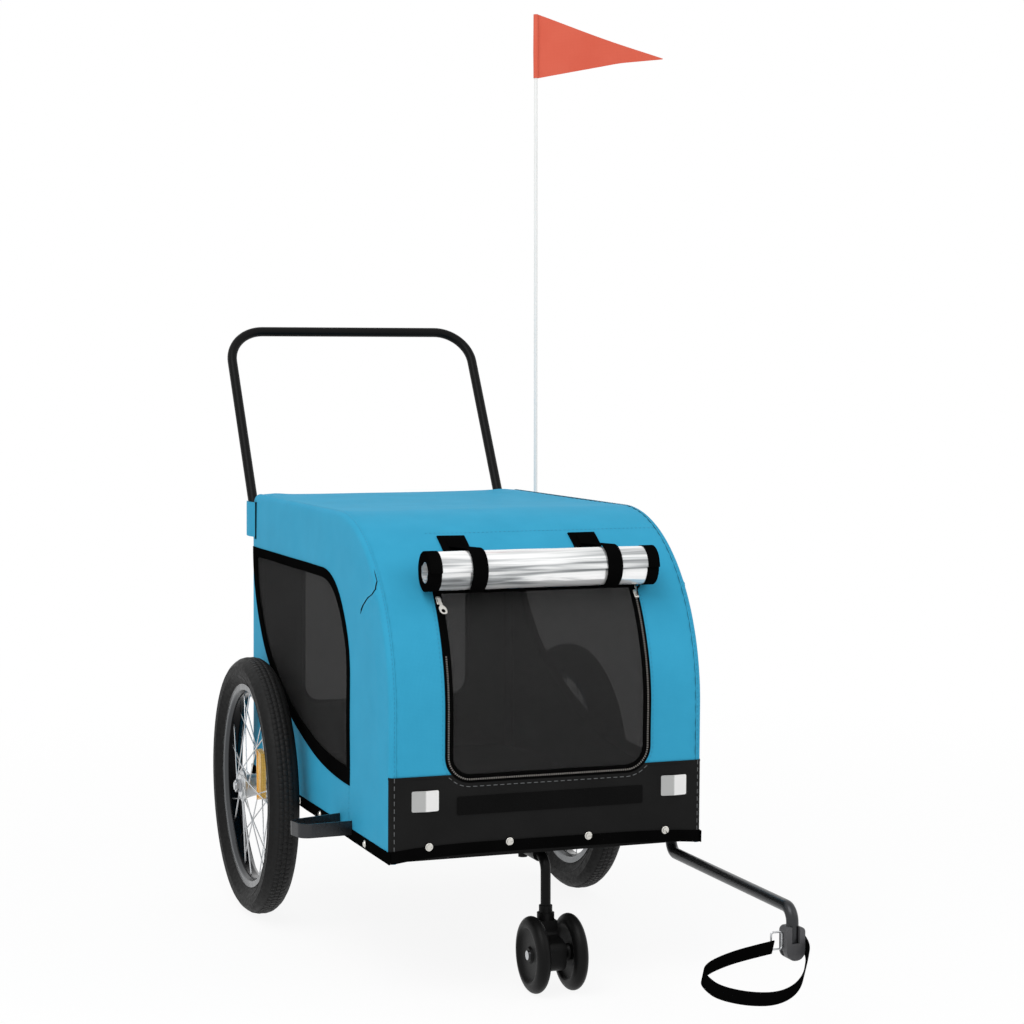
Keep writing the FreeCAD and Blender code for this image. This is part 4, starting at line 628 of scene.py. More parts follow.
# %% [markdown]
# ## Cutting cloth
# A real cabin is cut flat and sewn. So each panel starts as a flat outline with its holes, in
# millimetres. It is filled with an even net of triangles, and each point is then laid in its
# place on the cabin. That keeps the weave, the seams and the edges in the panel's own pattern.


# %% Flat patterns
def dense(line, step, closed=True):
    """Adds points to the straight runs of a line."""
    points = []
    for (ax, ay), (bx, by) in zip(line, line[1:] + (line[:1] if closed else [])):
        parts = max(1, math.ceil(math.hypot(bx - ax, by - ay) / step))
        points += [(ax + (bx - ax) * i / parts, ay + (by - ay) * i / parts) for i in range(parts)]
    return points if closed else points + line[-1:]


def round_corners(corners, step=3):
    """A closed loop from corners of (across, up, radius)."""
    points = []
    for i, (x, y, radius) in enumerate(corners):
        if radius == 0:
            points.append((x, y))
            continue
        corner = Vector((x, y))
        before = (Vector(corners[i - 1][:2]) - corner).normalized()
        after = (Vector(corners[(i + 1) % len(corners)][:2]) - corner).normalized()
        half = before.angle(after) / 2
        centre = corner + (before + after).normalized() * radius / math.sin(half)
        start = corner + before * radius / math.tan(half) - centre
        end = corner + after * radius / math.tan(half) - centre
        turn = math.atan2(start.x * end.y - start.y * end.x, start.dot(end))
        parts = max(2, math.ceil(abs(turn) * radius / step))
        for k in range(parts + 1):
            angle = turn * k / parts
            points.append((centre.x + start.x * math.cos(angle) - start.y * math.sin(angle),
                           centre.y + start.x * math.sin(angle) + start.y * math.cos(angle)))
    return points


def rounded(x_low, x_high, v_low, v_high, radius, step=3):
    """A rectangle with round corners; the radius is one for all, or (lower, upper)."""
    low, high = radius if isinstance(radius, tuple) else (radius, radius)
    corners = rectangle(x_low, x_high, v_low, v_high)
    return round_corners([(x, v, r) for (x, v), r in zip(corners, (low, low, high, high))], step)


def inside(points, loop):
    """Which points lie in a closed loop: a line to the right crosses it an odd number of times."""
    px, py = points[:, 0], points[:, 1]
    result = np.zeros(len(points), bool)
    for (ax, ay), (bx, by) in zip(loop, loop[1:] + loop[:1]):
        if ay != by:
            result ^= ((ay > py) != (by > py)) & (px < ax + (py - ay) / (by - ay) * (bx - ax))
    return result


def loop_area(loop):
    """The area within a closed loop."""
    return abs(sum(ax * by - bx * ay for (ax, ay), (bx, by) in zip(loop, loop[1:] + loop[:1]))) / 2


# %% From a pattern to a piece
ROW_STEP = 0.866   # height of a triangle with equal sides, as a share of a side
CLEAR = 0.45       # share of the spacing that the net keeps clear beside given points


def give_thickness(piece, thick, finish, back=None):
    """Makes a sheet solid on its inner side. Its cut edges are sharp, so they don't shade its face."""
    mesh = piece.data
    uses = np.zeros(len(mesh.edges), int)
    np.add.at(uses, [loop.edge_index for loop in mesh.loops], 1)
    mesh.attributes.new("sharp_edge", "BOOLEAN", "EDGE").data.foreach_set("value", uses == 1)
    mesh.materials.append(finish)
    wall = piece.modifiers.new("thickness", "SOLIDIFY")
    wall.thickness = thick * MM
    wall.offset = -1
    if back:
        mesh.materials.append(back)
        wall.material_offset = wall.material_offset_rim = 1


def cut_cloth(name, finish, outline, lay, holes=(), spacing=5, thick=1.4, flip=False, extra=(), back=None):
    """Cuts a flat pattern, fills it with a net of triangles and lays each point in its place."""
    points, edges = [], []
    loops = [dense(loop, spacing) for loop in (outline, *holes)]
    for loop in loops:
        first = len(points)
        points += loop
        edges += [(first + i, first + (i + 1) % len(loop)) for i in range(len(loop))]
    taken = np.array(points)
    (x_low, y_low), (x_high, y_high) = taken.min(0), taken.max(0)
    lattice = np.array([(x + (spacing / 2 if rank % 2 else 0), y_low + rank * spacing * ROW_STEP)
                        for rank in range(int((y_high - y_low) / spacing / ROW_STEP) + 1)
                        for x in np.arange(x_low, x_high, spacing)])
    extra = list(extra)
    if extra:
        taken = np.vstack([taken, np.array(extra)])
    for part in np.array_split(lattice, math.ceil(len(lattice) / 500)):
        gaps = ((part[:, None, :] - taken[None, :, :]) ** 2).sum(2).min(1)
        extra += [tuple(point) for point in part[gaps > (spacing * CLEAR) ** 2]]
    flat, _, faces, *_ = delaunay_2d_cdt([Vector(p) for p in points + extra], edges, [], 0, 1e-4)
    middles = np.array([sum((flat[i] for i in face), Vector((0, 0))) / 3 for face in faces])
    keep = inside(middles, loops[0])
    for loop in loops[1:]:
        keep &= ~inside(middles, loop)
    kept = []
    for face, wanted in zip(faces, keep):
        a, b, c = (flat[i] for i in face)
        spin = (b - a).cross(c - a)
        if wanted and abs(spin) > 1e-6:
            kept.append(face if (spin > 0) != flip else face[::-1])
    used = sorted({i for face in kept for i in face})
    order = {old: new for new, old in enumerate(used)}
    piece = new_piece(name, [lay(*flat[i]) for i in used], [[order[i] for i in face] for face in kept],
                      [flat[i] * MM for i in used])
    give_thickness(piece, thick, finish, back)
    return piece


def lifted(lay, lift, *first):
    """A way to lay cloth with its lift, and what comes before its place, already given."""
    return lambda a, b: lay(*first, a, b, lift)


def stretched(piece, loop, holes, rests_on, with_pieces=()):
    """Declares a panel as a stretched sheet of its flat size and area."""
    wide, long = (float(extent) * MM for extent in np.ptp(loop, axis=0))
    area = (loop_area(loop) - sum(loop_area(hole) for hole in holes)) * MM * MM
    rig.sheet(piece, flat=(wide, long), held="stretched", rests_on=rests_on, area=area, with_pieces=with_pieces)


# %% [markdown]
# ## The shape of the cabin
# Seen from the side the cabin is upright in front, bends back in one large curve into the roof,
# and turns down at the rear with a small curve. One function follows that line from the front
# hem over the roof to the rear hem. Another gives the side walls, whose edges roll over onto
# the front and the roof, where they are sewn down. Both let the cloth give a little.

# %% Front, roof and rear
HALF = 226.5      # half the cabin's width
LOW = 188         # lower edge of the cloth
TOP = 646         # roof
LONG = 760        # length of the cabin
NOSE = 265        # radius of the curve from the front into the roof
TAIL = 25         # radius of the curve from the roof into the rear
ROLL_OVER = 7     # radius of a side wall's edge where it rolls onto the front and roof
LAP = 1           # flat lap of that edge on the front and roof
QUARTER = math.pi / 2
NOSE_LOW, TAIL_LOW = TOP - NOSE, TOP - TAIL  # heights where the two curves end
RISE = NOSE_LOW - LOW
ROOF_RUN = LONG - NOSE - TAIL
ROOF_START = RISE + NOSE * QUARTER
TAIL_START = ROOF_START + ROOF_RUN
TAIL_END = TAIL_START + TAIL * QUARTER
REAR_RUN = TAIL_END + TAIL_LOW - LOW


def wrap_line(v):
    """Place and outward way (back, up) on the cabin's front, roof and rear, v from its front hem."""
    if v < RISE:
        return 0, LOW + v, -1, 0
    if v < ROOF_START:
        back, up = math.cos((v - RISE) / NOSE), math.sin((v - RISE) / NOSE)
        return NOSE - NOSE * back, NOSE_LOW + NOSE * up, -back, up
    if v < TAIL_START:
        return NOSE + v - ROOF_START, TOP, 0, 1
    if v < TAIL_END:
        back, up = math.sin((v - TAIL_START) / TAIL), math.cos((v - TAIL_START) / TAIL)
        return LONG - TAIL + TAIL * back, TAIL_LOW + TAIL * up, back, up
    return LONG, TAIL_LOW - (v - TAIL_END), 1, 0


def nose_v(degrees):
    """How far along the cloth an angle of the nose lies."""
    return RISE + NOSE * math.radians(degrees)


def give(x, v):
    """How far the cloth gives: it dips between the roof tubes, is full over the hoops and has small creases."""
    along = clamp((v - ROOF_START) / ROOF_RUN)
    calm = clamp((HALF - ROLL_OVER - abs(x)) / 30)
    dip = -4 * math.sin(math.pi * min(1.0, along / 0.85)) * math.sin(QUARTER * calm) - 0.6 * along
    full = 1.6 * along * math.exp(-((abs(x) - HALF + 32) / 16) ** 2)
    return dip + full + 0.9 * calm * noise.noise(Vector((x / 110, v / 80, 3.1)))


def lean(z):
    """The soft cabin leans a little to the right."""
    return 3.2 * (z - LOW) / (TOP - LOW)


def wrap(x, v, lift=0):
    """A point of the front, roof or rear, lifted off the cloth."""
    y, z, out_y, out_z = wrap_line(v)
    rise = lift + give(x, v)
    return at(x + lean(z), y + out_y * rise, z + out_z * rise)


# %% Side walls
SIDE_LIFT = 0.9   # outer face of a side wall off the cabin's size
LAP_LIFT = 0.15   # outer face of its lap off the front and roof
# A fold runs in from the nose edge, where the side walls have too much cloth. The wall swells
# softly below it.
TUCK = [Vector(p) for p in ((90, 580), (72, 562), (68, 551), (80, 544), (98, 538), (122, 524), (137, 510))]
TUCK_GAPS = (-8, -5, -3, -1.5, 0, 1.5, 3, 5, 8)  # lines of a finer net beside the fold


def side_loop(grow):
    """The outline of a side wall, made larger by an offset."""
    nose, tail = NOSE + grow, TAIL + grow
    front = [(NOSE - nose * math.cos(a), NOSE_LOW + nose * math.sin(a)) for a in np.linspace(0, QUARTER, 60)]
    rear = [(LONG - TAIL + tail * math.sin(a), TAIL_LOW + tail * math.cos(a))
            for a in np.linspace(0, QUARTER, 14)]
    return [(-grow, LOW)] + front + rear + [(LONG + grow, LOW)]


def beyond(y, z):
    """How far a point lies beyond the line where the edge starts to roll, and the way out there."""
    if y < NOSE and z > NOSE_LOW:
        way = Vector((y - NOSE, z - NOSE_LOW))
        return way.length - (NOSE - ROLL_OVER), way.normalized()
    if y > LONG - TAIL and z > TAIL_LOW:
        way = Vector((y - (LONG - TAIL), z - TAIL_LOW))
        return way.length - (TAIL - ROLL_OVER), way.normalized()
    choices = [(ROLL_OVER - y, Vector((-1, 0))), (z - (TOP - ROLL_OVER), Vector((0, 1))),
               (y - (LONG - ROLL_OVER), Vector((1, 0)))]
    return max(choices, key=lambda choice: choice[0])


def tuck_foot(y, z):
    """How far the fold's line is, the nearest share of the way along it, and if the point is below."""
    point = Vector((y, z))
    feet = []
    for i, (a, b) in enumerate(zip(TUCK, TUCK[1:])):
        share = clamp((point - a).dot(b - a) / (b - a).length_squared)
        gap = (point - (a + (b - a) * share)).length
        feet.append((gap, (i + share) / (len(TUCK) - 1), (b - a).cross(point - a) < 0))
    return min(feet, key=lambda foot: foot[0])


def tuck_depth(y, z):
    """How far the wall stands in or out beside the fold."""
    gap, along, below = tuck_foot(y, z)
    strength = math.sin(math.pi * clamp(0.12 + 0.8 * along))
    crease = -0.5 * math.exp(-(gap / 1.7) ** 2)
    swelling = (2.2 if below else 0.8) * math.exp(-((gap - 6) / 5) ** 2)
    return strength * (crease + swelling)


def tuck_net():
    """Points for a finer net beside the fold."""
    points = []
    for a, b in zip(TUCK, TUCK[1:]):
        away = Vector((a.y - b.y, b.x - a.x)).normalized()
        for share in np.linspace(0, 1, max(2, round((b - a).length / 3)), endpoint=False):
            points += [tuple(a + (b - a) * float(share) + away * gap) for gap in TUCK_GAPS]
    return points


def side(sign, y, z, lift=0):
    """A point of the left (-1) or right (1) side wall, lifted off the cloth."""
    over, way = beyond(y, z)
    rise = lift + SIDE_LIFT
    if over <= 0:
        calm = min(1.0, -over / 40) * clamp((z - LOW) / 40)
        rise += calm * (1.4 + 1.6 * noise.noise(Vector((y / 130, z / 90, 5.0 + sign)))) + tuck_depth(y, z)
        return at(sign * (HALF + rise) + lean(z), y, z)
    turn = min(over / ROLL_OVER, QUARTER)
    rest = max(0.0, over - ROLL_OVER * QUARTER)
    rise -= (SIDE_LIFT - LAP_LIFT) * turn / QUARTER
    foot = Vector((y, z)) - way * over
    reach = foot + way * (ROLL_OVER + rise) * math.sin(turn)
    return at(sign * (HALF - ROLL_OVER - rest + (ROLL_OVER + rise) * math.cos(turn)) + lean(z), *reach)


print("cloth runs", round(REAR_RUN), "mm from the front hem over the roof to the rear hem")

# %% [markdown]
# ## Cabin panels
# The blue cover runs from the black kick panel up the front, over the nose and the roof to the
# rear. The kick panel, the rear wall and the two side walls complete the cabin. The door and
# window holes are cut in the flat patterns.

# %% Door and window outlines
DOOR_HALF = 143
DOOR_LOW = 111     # along the cloth, from its lower edge
DOOR_DROP = 101    # the top of a door below the roof
DOOR_CORNER = 30
DOOR_TOP = RISE + NOSE * math.asin((NOSE - DOOR_DROP) / NOSE)
# The upper and lower edge of each door along the cloth, which runs downwards behind.
DOORS = {"front": (DOOR_TOP, DOOR_LOW, 1), "rear": (TAIL_END + DOOR_DROP - TAIL, REAR_RUN - DOOR_LOW, -1)}
WINDOW_FRONT, WINDOW_TOP, WINDOW_LONG, WINDOW_HIGH, WINDOW_CORNER = 199, 548, 540, 271, 130


def door_loop(name, grow):
    """A door along the cloth, made larger by an offset, down one side, round its corners and up the other."""
    top, low, up = DOORS[name]
    wide, corner = -up * (DOOR_HALF + grow), DOOR_CORNER + grow
    return round_corners([(wide, top + up * grow, 0), (wide, low - up * grow, corner),
                          (-wide, low - up * grow, corner), (-wide, top + up * grow, 0)])


def window_loop(grow, less=0):
    """A side window: straight front and top, a round upper corner and a long curve below, less deep."""
    front, top, corner = WINDOW_FRONT - grow, WINDOW_TOP + grow, WINDOW_CORNER + grow
    long, high = (size + 2 * grow - less for size in (WINDOW_LONG, WINDOW_HIGH))
    bend = [(front + corner - corner * math.cos(a), top - corner + corner * math.sin(a))
            for a in np.linspace(0, QUARTER, 24)]
    below = [(front + long * math.cos(a), top - high * math.sin(a)) for a in np.linspace(0, QUARTER, 70)]
    return bend + below


# %% Panels
KICK = 116         # height of the kick panel along the cloth
KICK_LIFT, KICK_EDGE = 1.3, HALF + 3
EDGE = HALF - ROLL_OVER + 3
UNDER = 14         # the cover and the side walls' laps hide this much of each other
HOLE = 2           # the cloth is cut back from the door by this, under the zip tape
THIN = 1.2         # thickness of the kick panel and the side walls


def arch(x, v):
    """The lower edge of the front is drawn up a little between its corners."""
    return (7.6 - 1.2 * x / HALF) * (1 - (x / HALF) ** 4) * max(0.0, 1 - v / 70) if abs(x) < HALF else 0.0


def kick(x, v, lift=0):
    """A point of the kick panel, which turns round the cabin's front corners onto its sides."""
    v += arch(x, v)
    over = abs(x) - (HALF - ROLL_OVER)
    if over <= 0:
        return wrap(x, v, lift)
    turn = over / ROLL_OVER
    reach = ROLL_OVER + lift
    across = math.copysign(HALF - ROLL_OVER + reach * math.sin(turn), x) + lean(LOW + v)
    return at(across, ROLL_OVER - reach * math.cos(turn), LOW + v)


def cover(x, v):
    """A point of the cover, the roof or the rear wall; its side edges dive under the side walls' laps."""
    return wrap(x, v, -0.5 * max(0.0, abs(x) - (HALF - ROLL_OVER - LAP)))


cover_loop = rectangle(-EDGE, EDGE, KICK - UNDER, TAIL_END)
kick_loop = rectangle(-KICK_EDGE, KICK_EDGE, 0, KICK)
rear_loop = rectangle(-EDGE, EDGE, TAIL_END, REAR_RUN)
kick_corner = [(sign * (HALF - ROLL_OVER + u), v) for _, sign in SIDES for u in np.arange(0, ROLL_OVER + 3, 1.5)
               for v in np.arange(3, KICK - 2, 6)]
front_cover = cut_cloth("front_and_roof_cloth", blue_cloth, cover_loop, cover, [door_loop("front", HOLE)],
                        spacing=11, back=cloth_back)
kick_cloth = cut_cloth("kick_panel_cloth", black_cloth, kick_loop,
                       lambda x, v: kick(x, v, KICK_LIFT if abs(x) > HALF - 30 else 0.7),
                       [door_loop("front", HOLE)], spacing=9, thick=THIN, extra=kick_corner)
rear_cloth = cut_cloth("rear_cloth", blue_cloth, rear_loop, cover, [door_loop("rear", HOLE)],
                       spacing=12, back=cloth_back)
settle(front_cover, "cloth_blue", "front_roof_cover")
settle(kick_cloth, "cloth_black", "kick_panel")
settle(rear_cloth, "cloth_blue", "rear_panel")

side_outline = side_loop(ROLL_OVER * (QUARTER - 1) + LAP)
side_net = tuck_net() + dense(side_loop(-40), 4.5)
for share in (0, 0.2, 0.4, 0.6, 0.8, 1):
    side_net += dense(side_loop(-ROLL_OVER + ROLL_OVER * QUARTER * share), 4.5)
side_cloths = {}
for name, sign in SIDES:
    piece = cut_cloth(f"{name}_side_cloth", blue_cloth, side_outline, lifted(side, 0, sign), [window_loop(0)],
                      spacing=9, thick=THIN, flip=sign < 0, extra=side_net, back=cloth_back)
    side_cloths[name] = settle(piece, "cloth_blue", f"{name}_side_panel")

# %% The fold in the left side wall
FOLD_LIFT, FOLD_SINK = 2.1, 0.15  # how far the fold stands off the wall, and its edges sink in


def fold_place(y, z):
    """A point of the fold: it stands off the wall at its front edge and runs out into it behind."""
    gap, along, _ = tuck_foot(y, z)
    stand = min(1.0, 3.2 * math.sin(math.pi * along)) * max(0.0, 1 - gap / 7)
    return side(-1, y, z, FOLD_LIFT * stand - FOLD_SINK)


fold_middle = (TUCK[0] + TUCK[-1]) / 2
fold_back = [p + (fold_middle - p) * 0.4 for p in reversed(TUCK[1:-1])]
# The fold's underside and cut edge take the black cloth as a painted shadow: the dark line of shade under the fold's
# edge.
side_fold = cut_cloth("left_side_fold", blue_cloth, [tuple(p) for p in TUCK + fold_back], fold_place,
                      spacing=2.5, thick=1.9, flip=True, back=black_cloth)
settle(side_fold, "cloth_blue")

# %% Corner flaps
# A flap at each rear corner covers the bolt that the push handle turns on.
FLAP_FROM, FLAP_TO, FLAP_LOW, FLAP_HIGH = 735, 792, 577, 633


def flap_place(sign, y, z, lift=0):
    """A point of a corner flap, which swells over the bolt."""
    share = clamp((y - FLAP_FROM) / (FLAP_TO - FLAP_FROM))
    return at(sign * (HALF + 3 + lift + 4 * math.sin(math.pi * share)) + lean(z), y, z)


flap_loop = round_corners([(FLAP_FROM, FLAP_LOW, 2), (FLAP_TO, FLAP_LOW, 8),
                           (FLAP_TO, FLAP_HIGH, 8), (FLAP_FROM, FLAP_HIGH, 2)])
flap_shade_strip = rectangle(FLAP_FROM - 4, FLAP_FROM + 1, FLAP_LOW - 3, FLAP_HIGH)
flaps = {}
for name, sign in SIDES:
    flap = cut_cloth(f"{name}_corner_flap", blue_cloth, flap_loop, lifted(flap_place, 0, sign), flip=sign < 0,
                     back=cloth_back)
    # A black strip along the flap's front edge is painted shade, for the dark line under that edge.
    edge = cut_cloth(f"{name}_flap_binding", black_webbing, flap_shade_strip, lifted(flap_place, -0.5, sign),
                     spacing=3, thick=2.4, flip=sign < 0)
    flaps[name] = [settle(flap, "cloth_blue"), settle(edge, "webbing_black")]

# %% [markdown]
# ## Windows and doors
# The windows and the two doors are knitted mesh. A flat black binding covers the cut edge of
# each window. Each door hangs on a piping at its top and closes with a zip, so its mesh has a
# binding of its own just inside the zip.

# %% Window mesh and bindings
NET_THICK = 0.7
BINDING = 13
LOWER_BAND = 10    # the binding is this much wider under the window
for name, sign in SIDES:
    mesh = cut_cloth(f"{name}_window_net", net_black, window_loop(8), lifted(side, -2.2, sign),
                     spacing=14, thick=NET_THICK, flip=sign < 0)
    settle(mesh, "mesh_black", f"{name}_window_mesh")
    trim = cut_cloth(f"{name}_window_binding", black_webbing, window_loop(BINDING), lifted(side, 1.3, sign),
                     [window_loop(-1, LOWER_BAND)], thick=2.2, flip=sign < 0)
    settle(trim, "webbing_black", *(["window_bindings"] if sign < 0 else []))
    stretched(side_cloths[name], side_outline, [window_loop(0)], ["side_hoops", "side_rails"],
              [trim, *flaps[name]] + ([side_fold] if sign < 0 else []))
    stretched(mesh, window_loop(8), [], [side_cloths[name]])

# %% Door mesh and bindings
TOP_BARE = 3       # the front door's binding is narrower by this at its top, under the roll
for name in DOORS:
    outline = door_loop(name, 1.2)
    mesh = cut_cloth(f"{name}_door_net", net_black, outline, lifted(wrap, -0.5), spacing=10, thick=NET_THICK)
    settle(mesh, "mesh_black", f"{name}_mesh_door", body=f"{name}_door")
    bare = [(x, v + TOP_BARE if abs(v - DOOR_TOP) < 6 else v) for x, v in door_loop(name, -4.5)]
    trim = cut_cloth(f"{name}_door_binding", black_webbing, door_loop(name, -0.3), lifted(wrap, 0.7),
                     [bare], spacing=4.5)
    settle(trim, "webbing_black", body=f"{name}_door")
    stretched(mesh, outline, [], ["door_zips"], [trim])

# %% [markdown]
# ## Rows that follow a line
# Stitches, zip teeth, press studs and tread blocks are one small shape repeated along a line.
# A geometry node tree does that: it spaces points along the line, turns a copy of the shape at
# each so that it stands on the surface, makes the copies real and gives them their finish.

# %% The row tree
ROW = bpy.data.node_groups.new("row_along_a_line", "GeometryNodeTree")
ROW.interface.new_socket("Line", in_out="INPUT", socket_type="NodeSocketGeometry")
ROW_INPUTS = {title: ROW.interface.new_socket(title, in_out="INPUT", socket_type=f"NodeSocket{kind}")
              for title, kind in (("Shape", "Object"), ("Spacing", "Float"), ("Finish", "Material"))}
ROW.interface.new_socket("Row", in_out="OUTPUT", socket_type="NodeSocketGeometry")
given = add(ROW, "NodeGroupInput").outputs
line = add(ROW, "GeometryNodeMeshToCurve", {"Mesh": given["Line"]})
spaced = add(ROW, "GeometryNodeResampleCurve", {"Curve": line.outputs[0], "Length": given["Spacing"]},
             mode="LENGTH")
out_way = add(ROW, "GeometryNodeInputNamedAttribute", {"Name": "out"}, data_type="FLOAT_VECTOR")
along = add(ROW, "GeometryNodeInputTangent")
axes = {"Primary Axis": out_way.outputs[0], "Secondary Axis": along.outputs[0]}
turn = add(ROW, "FunctionNodeAxesToRotation", axes, primary_axis="Z", secondary_axis="X")
shape = add(ROW, "GeometryNodeObjectInfo", {"Object": given["Shape"]})
copies = add(ROW, "GeometryNodeInstanceOnPoints",
             {"Points": spaced.outputs[0], "Instance": shape.outputs["Geometry"], "Rotation": turn.outputs[0]})
real = add(ROW, "GeometryNodeRealizeInstances", {"Geometry": copies.outputs[0]})
painted = add(ROW, "GeometryNodeSetMaterial", {"Geometry": real.outputs[0], "Material": given["Finish"]})
add(ROW, "NodeGroupOutput", {"Row": painted.outputs[0]})


def row(name, lines, shape, spacing, finish):
    """Copies of a shape along lines; a line is a list of (place, way out) pairs."""
    points, edges, ways = [], [], []
    for line in lines:
        edges += [(len(points) + i, len(points) + i + 1) for i in range(len(line) - 1)]
        points += [place for place, way in line]
        ways += [way for place, way in line]
    mesh = bpy.data.meshes.new(name)
    mesh.from_pydata(points, edges, [])
    outward = mesh.attributes.new("out", "FLOAT_VECTOR", "POINT")
    outward.data.foreach_set("vector", [c for way in ways for c in way])
    piece = new_object(name, mesh)
    modifier = piece.modifiers.new("row", "NODES")
    modifier.node_group = ROW
    for title, value in (("Shape", shape), ("Spacing", spacing * MM), ("Finish", finish)):
        modifier[ROW_INPUTS[title].identifier] = value
    made = drawn_mesh(piece)
    piece.modifiers.remove(modifier)
    piece.data = made
    made.shade_smooth()
    return piece


def on_wrap(points, lift, step=4, lay=wrap):
    """Places and outward ways of an open line on the cloth."""
    return [(lay(x, v, lift), Vector((0, *wrap_line(v)[2:]))) for x, v in dense(points, step, closed=False)]


# %% Small shapes for the rows
def turned(name, profile, steps, centre=Vector(), axis=Vector((0, 0, 1))):
    """A profile of (radius, height) pairs, in millimetres, turned about an axis."""
    across = axis.orthogonal().normalized()
    other = axis.cross(across)
    shell = bmesh.new()
    angles = np.linspace(0, 2 * math.pi, steps, endpoint=False)
    rays = [across * math.cos(a) + other * math.sin(a) for a in angles]
    rings = [[shell.verts.new(centre + (axis * height + ray * radius) * MM) for ray in rays]
             for radius, height in profile]
    for low, high in zip(rings, rings[1:]):
        for i in range(steps):
            shell.faces.new((low[i], low[(i + 1) % steps], high[(i + 1) % steps], high[i]))
    bmesh.ops.remove_doubles(shell, verts=shell.verts, dist=1e-7)
    piece = new_piece(name, [], [])
    face_outward(piece, shell, 40)
    around = profile[-2][0] * MM
    spots = [vertex.co - centre for vertex in piece.data.vertices]
    set_pattern(piece.data, [(math.atan2(spot.dot(other), spot.dot(across)) * around, spot.dot(axis))
                             for spot in spots])
    return piece


def block(name, long, wide, high, taper):
    """A block on the surface, long along the row, with a top smaller by a taper."""
    base = [(x, y, 0) for x, y in rectangle(-long / 2, long / 2, -wide / 2, wide / 2)]
    crown = [(x * taper, y * taper, high) for x, y, z in base]
    faces = [(4, 5, 6, 7)] + [(i, (i + 1) % 4, 4 + (i + 1) % 4, 4 + i) for i in range(4)]
    return new_piece(name, [Vector(p) * MM for p in base + crown], faces)


stitch = block("stitch", 3.4, 0.8, 0.35, 0.6)
long_stitch = block("long_stitch", 6.0, 1.1, 0.5, 0.8)
zip_tooth = block("zip_tooth", 1.6, 2.5, 1.3, 0.75)
tread_block = block("tread_block", 8.7, 7.3, 0.4, 0.96)
stud_profile = [(5.5, 0), (5.5, 0.7), (4.9, 1.2), (4.2, 1.3), (3.9, 2.3), (2.4, 2.9), (0, 3.1)]
press_stud = turned("press_stud", stud_profile, 14)
print("stitch, tooth, tread block and stud shapes")

# %% [markdown]
# ## Zips
# Each door closes with a zip that runs down one side, under the door and up the other. A black
# tape lies on the cloth, the grey teeth stand on the tape, and a silver slider rests near the
# top of each side of the front door.

# %% Zip tapes and teeth
ZIP_MIDDLE = 2.2   # teeth from the door's edge
ZIP_LIFT = 1.0
TOOTH_STEP = 3.2
TAPE_OUT = 7
TAPE_TOP = DOOR_TOP + 2.5  # the front tape ends under the roll
TUCKED = 80        # below the left slider the tape turns in and hides its teeth for this far
slider_v = nose_v(34) + 5
zip_lines, tapes = [], []
for name in DOORS:
    outline, teeth = door_loop(name, TAPE_OUT), door_loop(name, ZIP_MIDDLE)
    if name == "front":
        outline = [(x, min(v, TAPE_TOP)) for x, v in outline]
        teeth[0] = (teeth[0][0], slider_v - TUCKED)
        teeth[-1] = (teeth[-1][0], slider_v)
    tape = cut_cloth(f"{name}_zip_tape", black_webbing, outline, lifted(wrap, ZIP_LIFT), [door_loop(name, 0)],
                     spacing=4, thick=0.9)
    tapes.append(settle(tape, "zip_black"))
    zip_lines.append(on_wrap(teeth, ZIP_LIFT))
zip_teeth = row("zip_teeth", zip_lines, zip_tooth, TOOTH_STEP, teeth_grey)
settle(zip_teeth, "zip_black", "door_zips")
stretched(front_cover, cover_loop, [door_loop("front", HOLE)], ["side_hoops", "roof_tubes"], [tapes[0]])
stretched(rear_cloth, rear_loop, [door_loop("rear", 0)], ["side_hoops"], [tapes[1]])

# %% Zip sliders
# The left pull hangs over the door. The right one is turned up, under the roll, and leans outwards.
SLIDER_NET = 1.2   # spacing of the net in pieces this small
pull_loop = round_corners([(-2.2, 3, 1), (2.2, 3, 1), (2.4, -9, 2), (5.2, -12, 4.6), (5.2, -21.5, 4.6),
                           (-5.2, -21.5, 4.6), (-5.2, -12, 4.6), (-2.4, -9, 2)], 0.8)
pull_eye = rounded(-2.7, 2.7, -14.2, -19.4, 2.4, 0.8)
body_loop = round_corners([(-3.4, 6, 1), (3.4, 6, 1), (4, 2, 2), (3, -6, 1), (-3, -6, 1), (-4, 2, 2)], 0.8)
for name, sign in SIDES:
    x = sign * (DOOR_HALF + ZIP_MIDDLE)
    up, slant, lift, fall = (1, -0.2, 6.3, 0) if name == "left" else (-0.8, 0.35, 5.4, 0.05)
    body = cut_cloth(f"{name}_slider_body", nickel, body_loop,
                     lambda u, v: wrap(x + u, slider_v + v, 4.6 - 0.03 * (u * u + v * v * 0.4)),
                     spacing=SLIDER_NET, thick=2.6)
    pull = cut_cloth(f"{name}_slider_pull", nickel, pull_loop,
                     lambda u, v: wrap(x + (u + slant * v) * up, slider_v + v * up, lift + fall * v), [pull_eye],
                     spacing=SLIDER_NET, thick=1.5)
    settle(body, "zip_metal", f"{name}_zip_slider", body=f"{name}_slider")
    settle(pull, "zip_metal", body=f"{name}_slider")

# %% [markdown]
# ## Kick panel, hems, patches and studs
# The black kick panel carries a hook tape that the rain cover closes on, two silver patches and
# a webbing hem. Press studs hold the hem to the base all round.

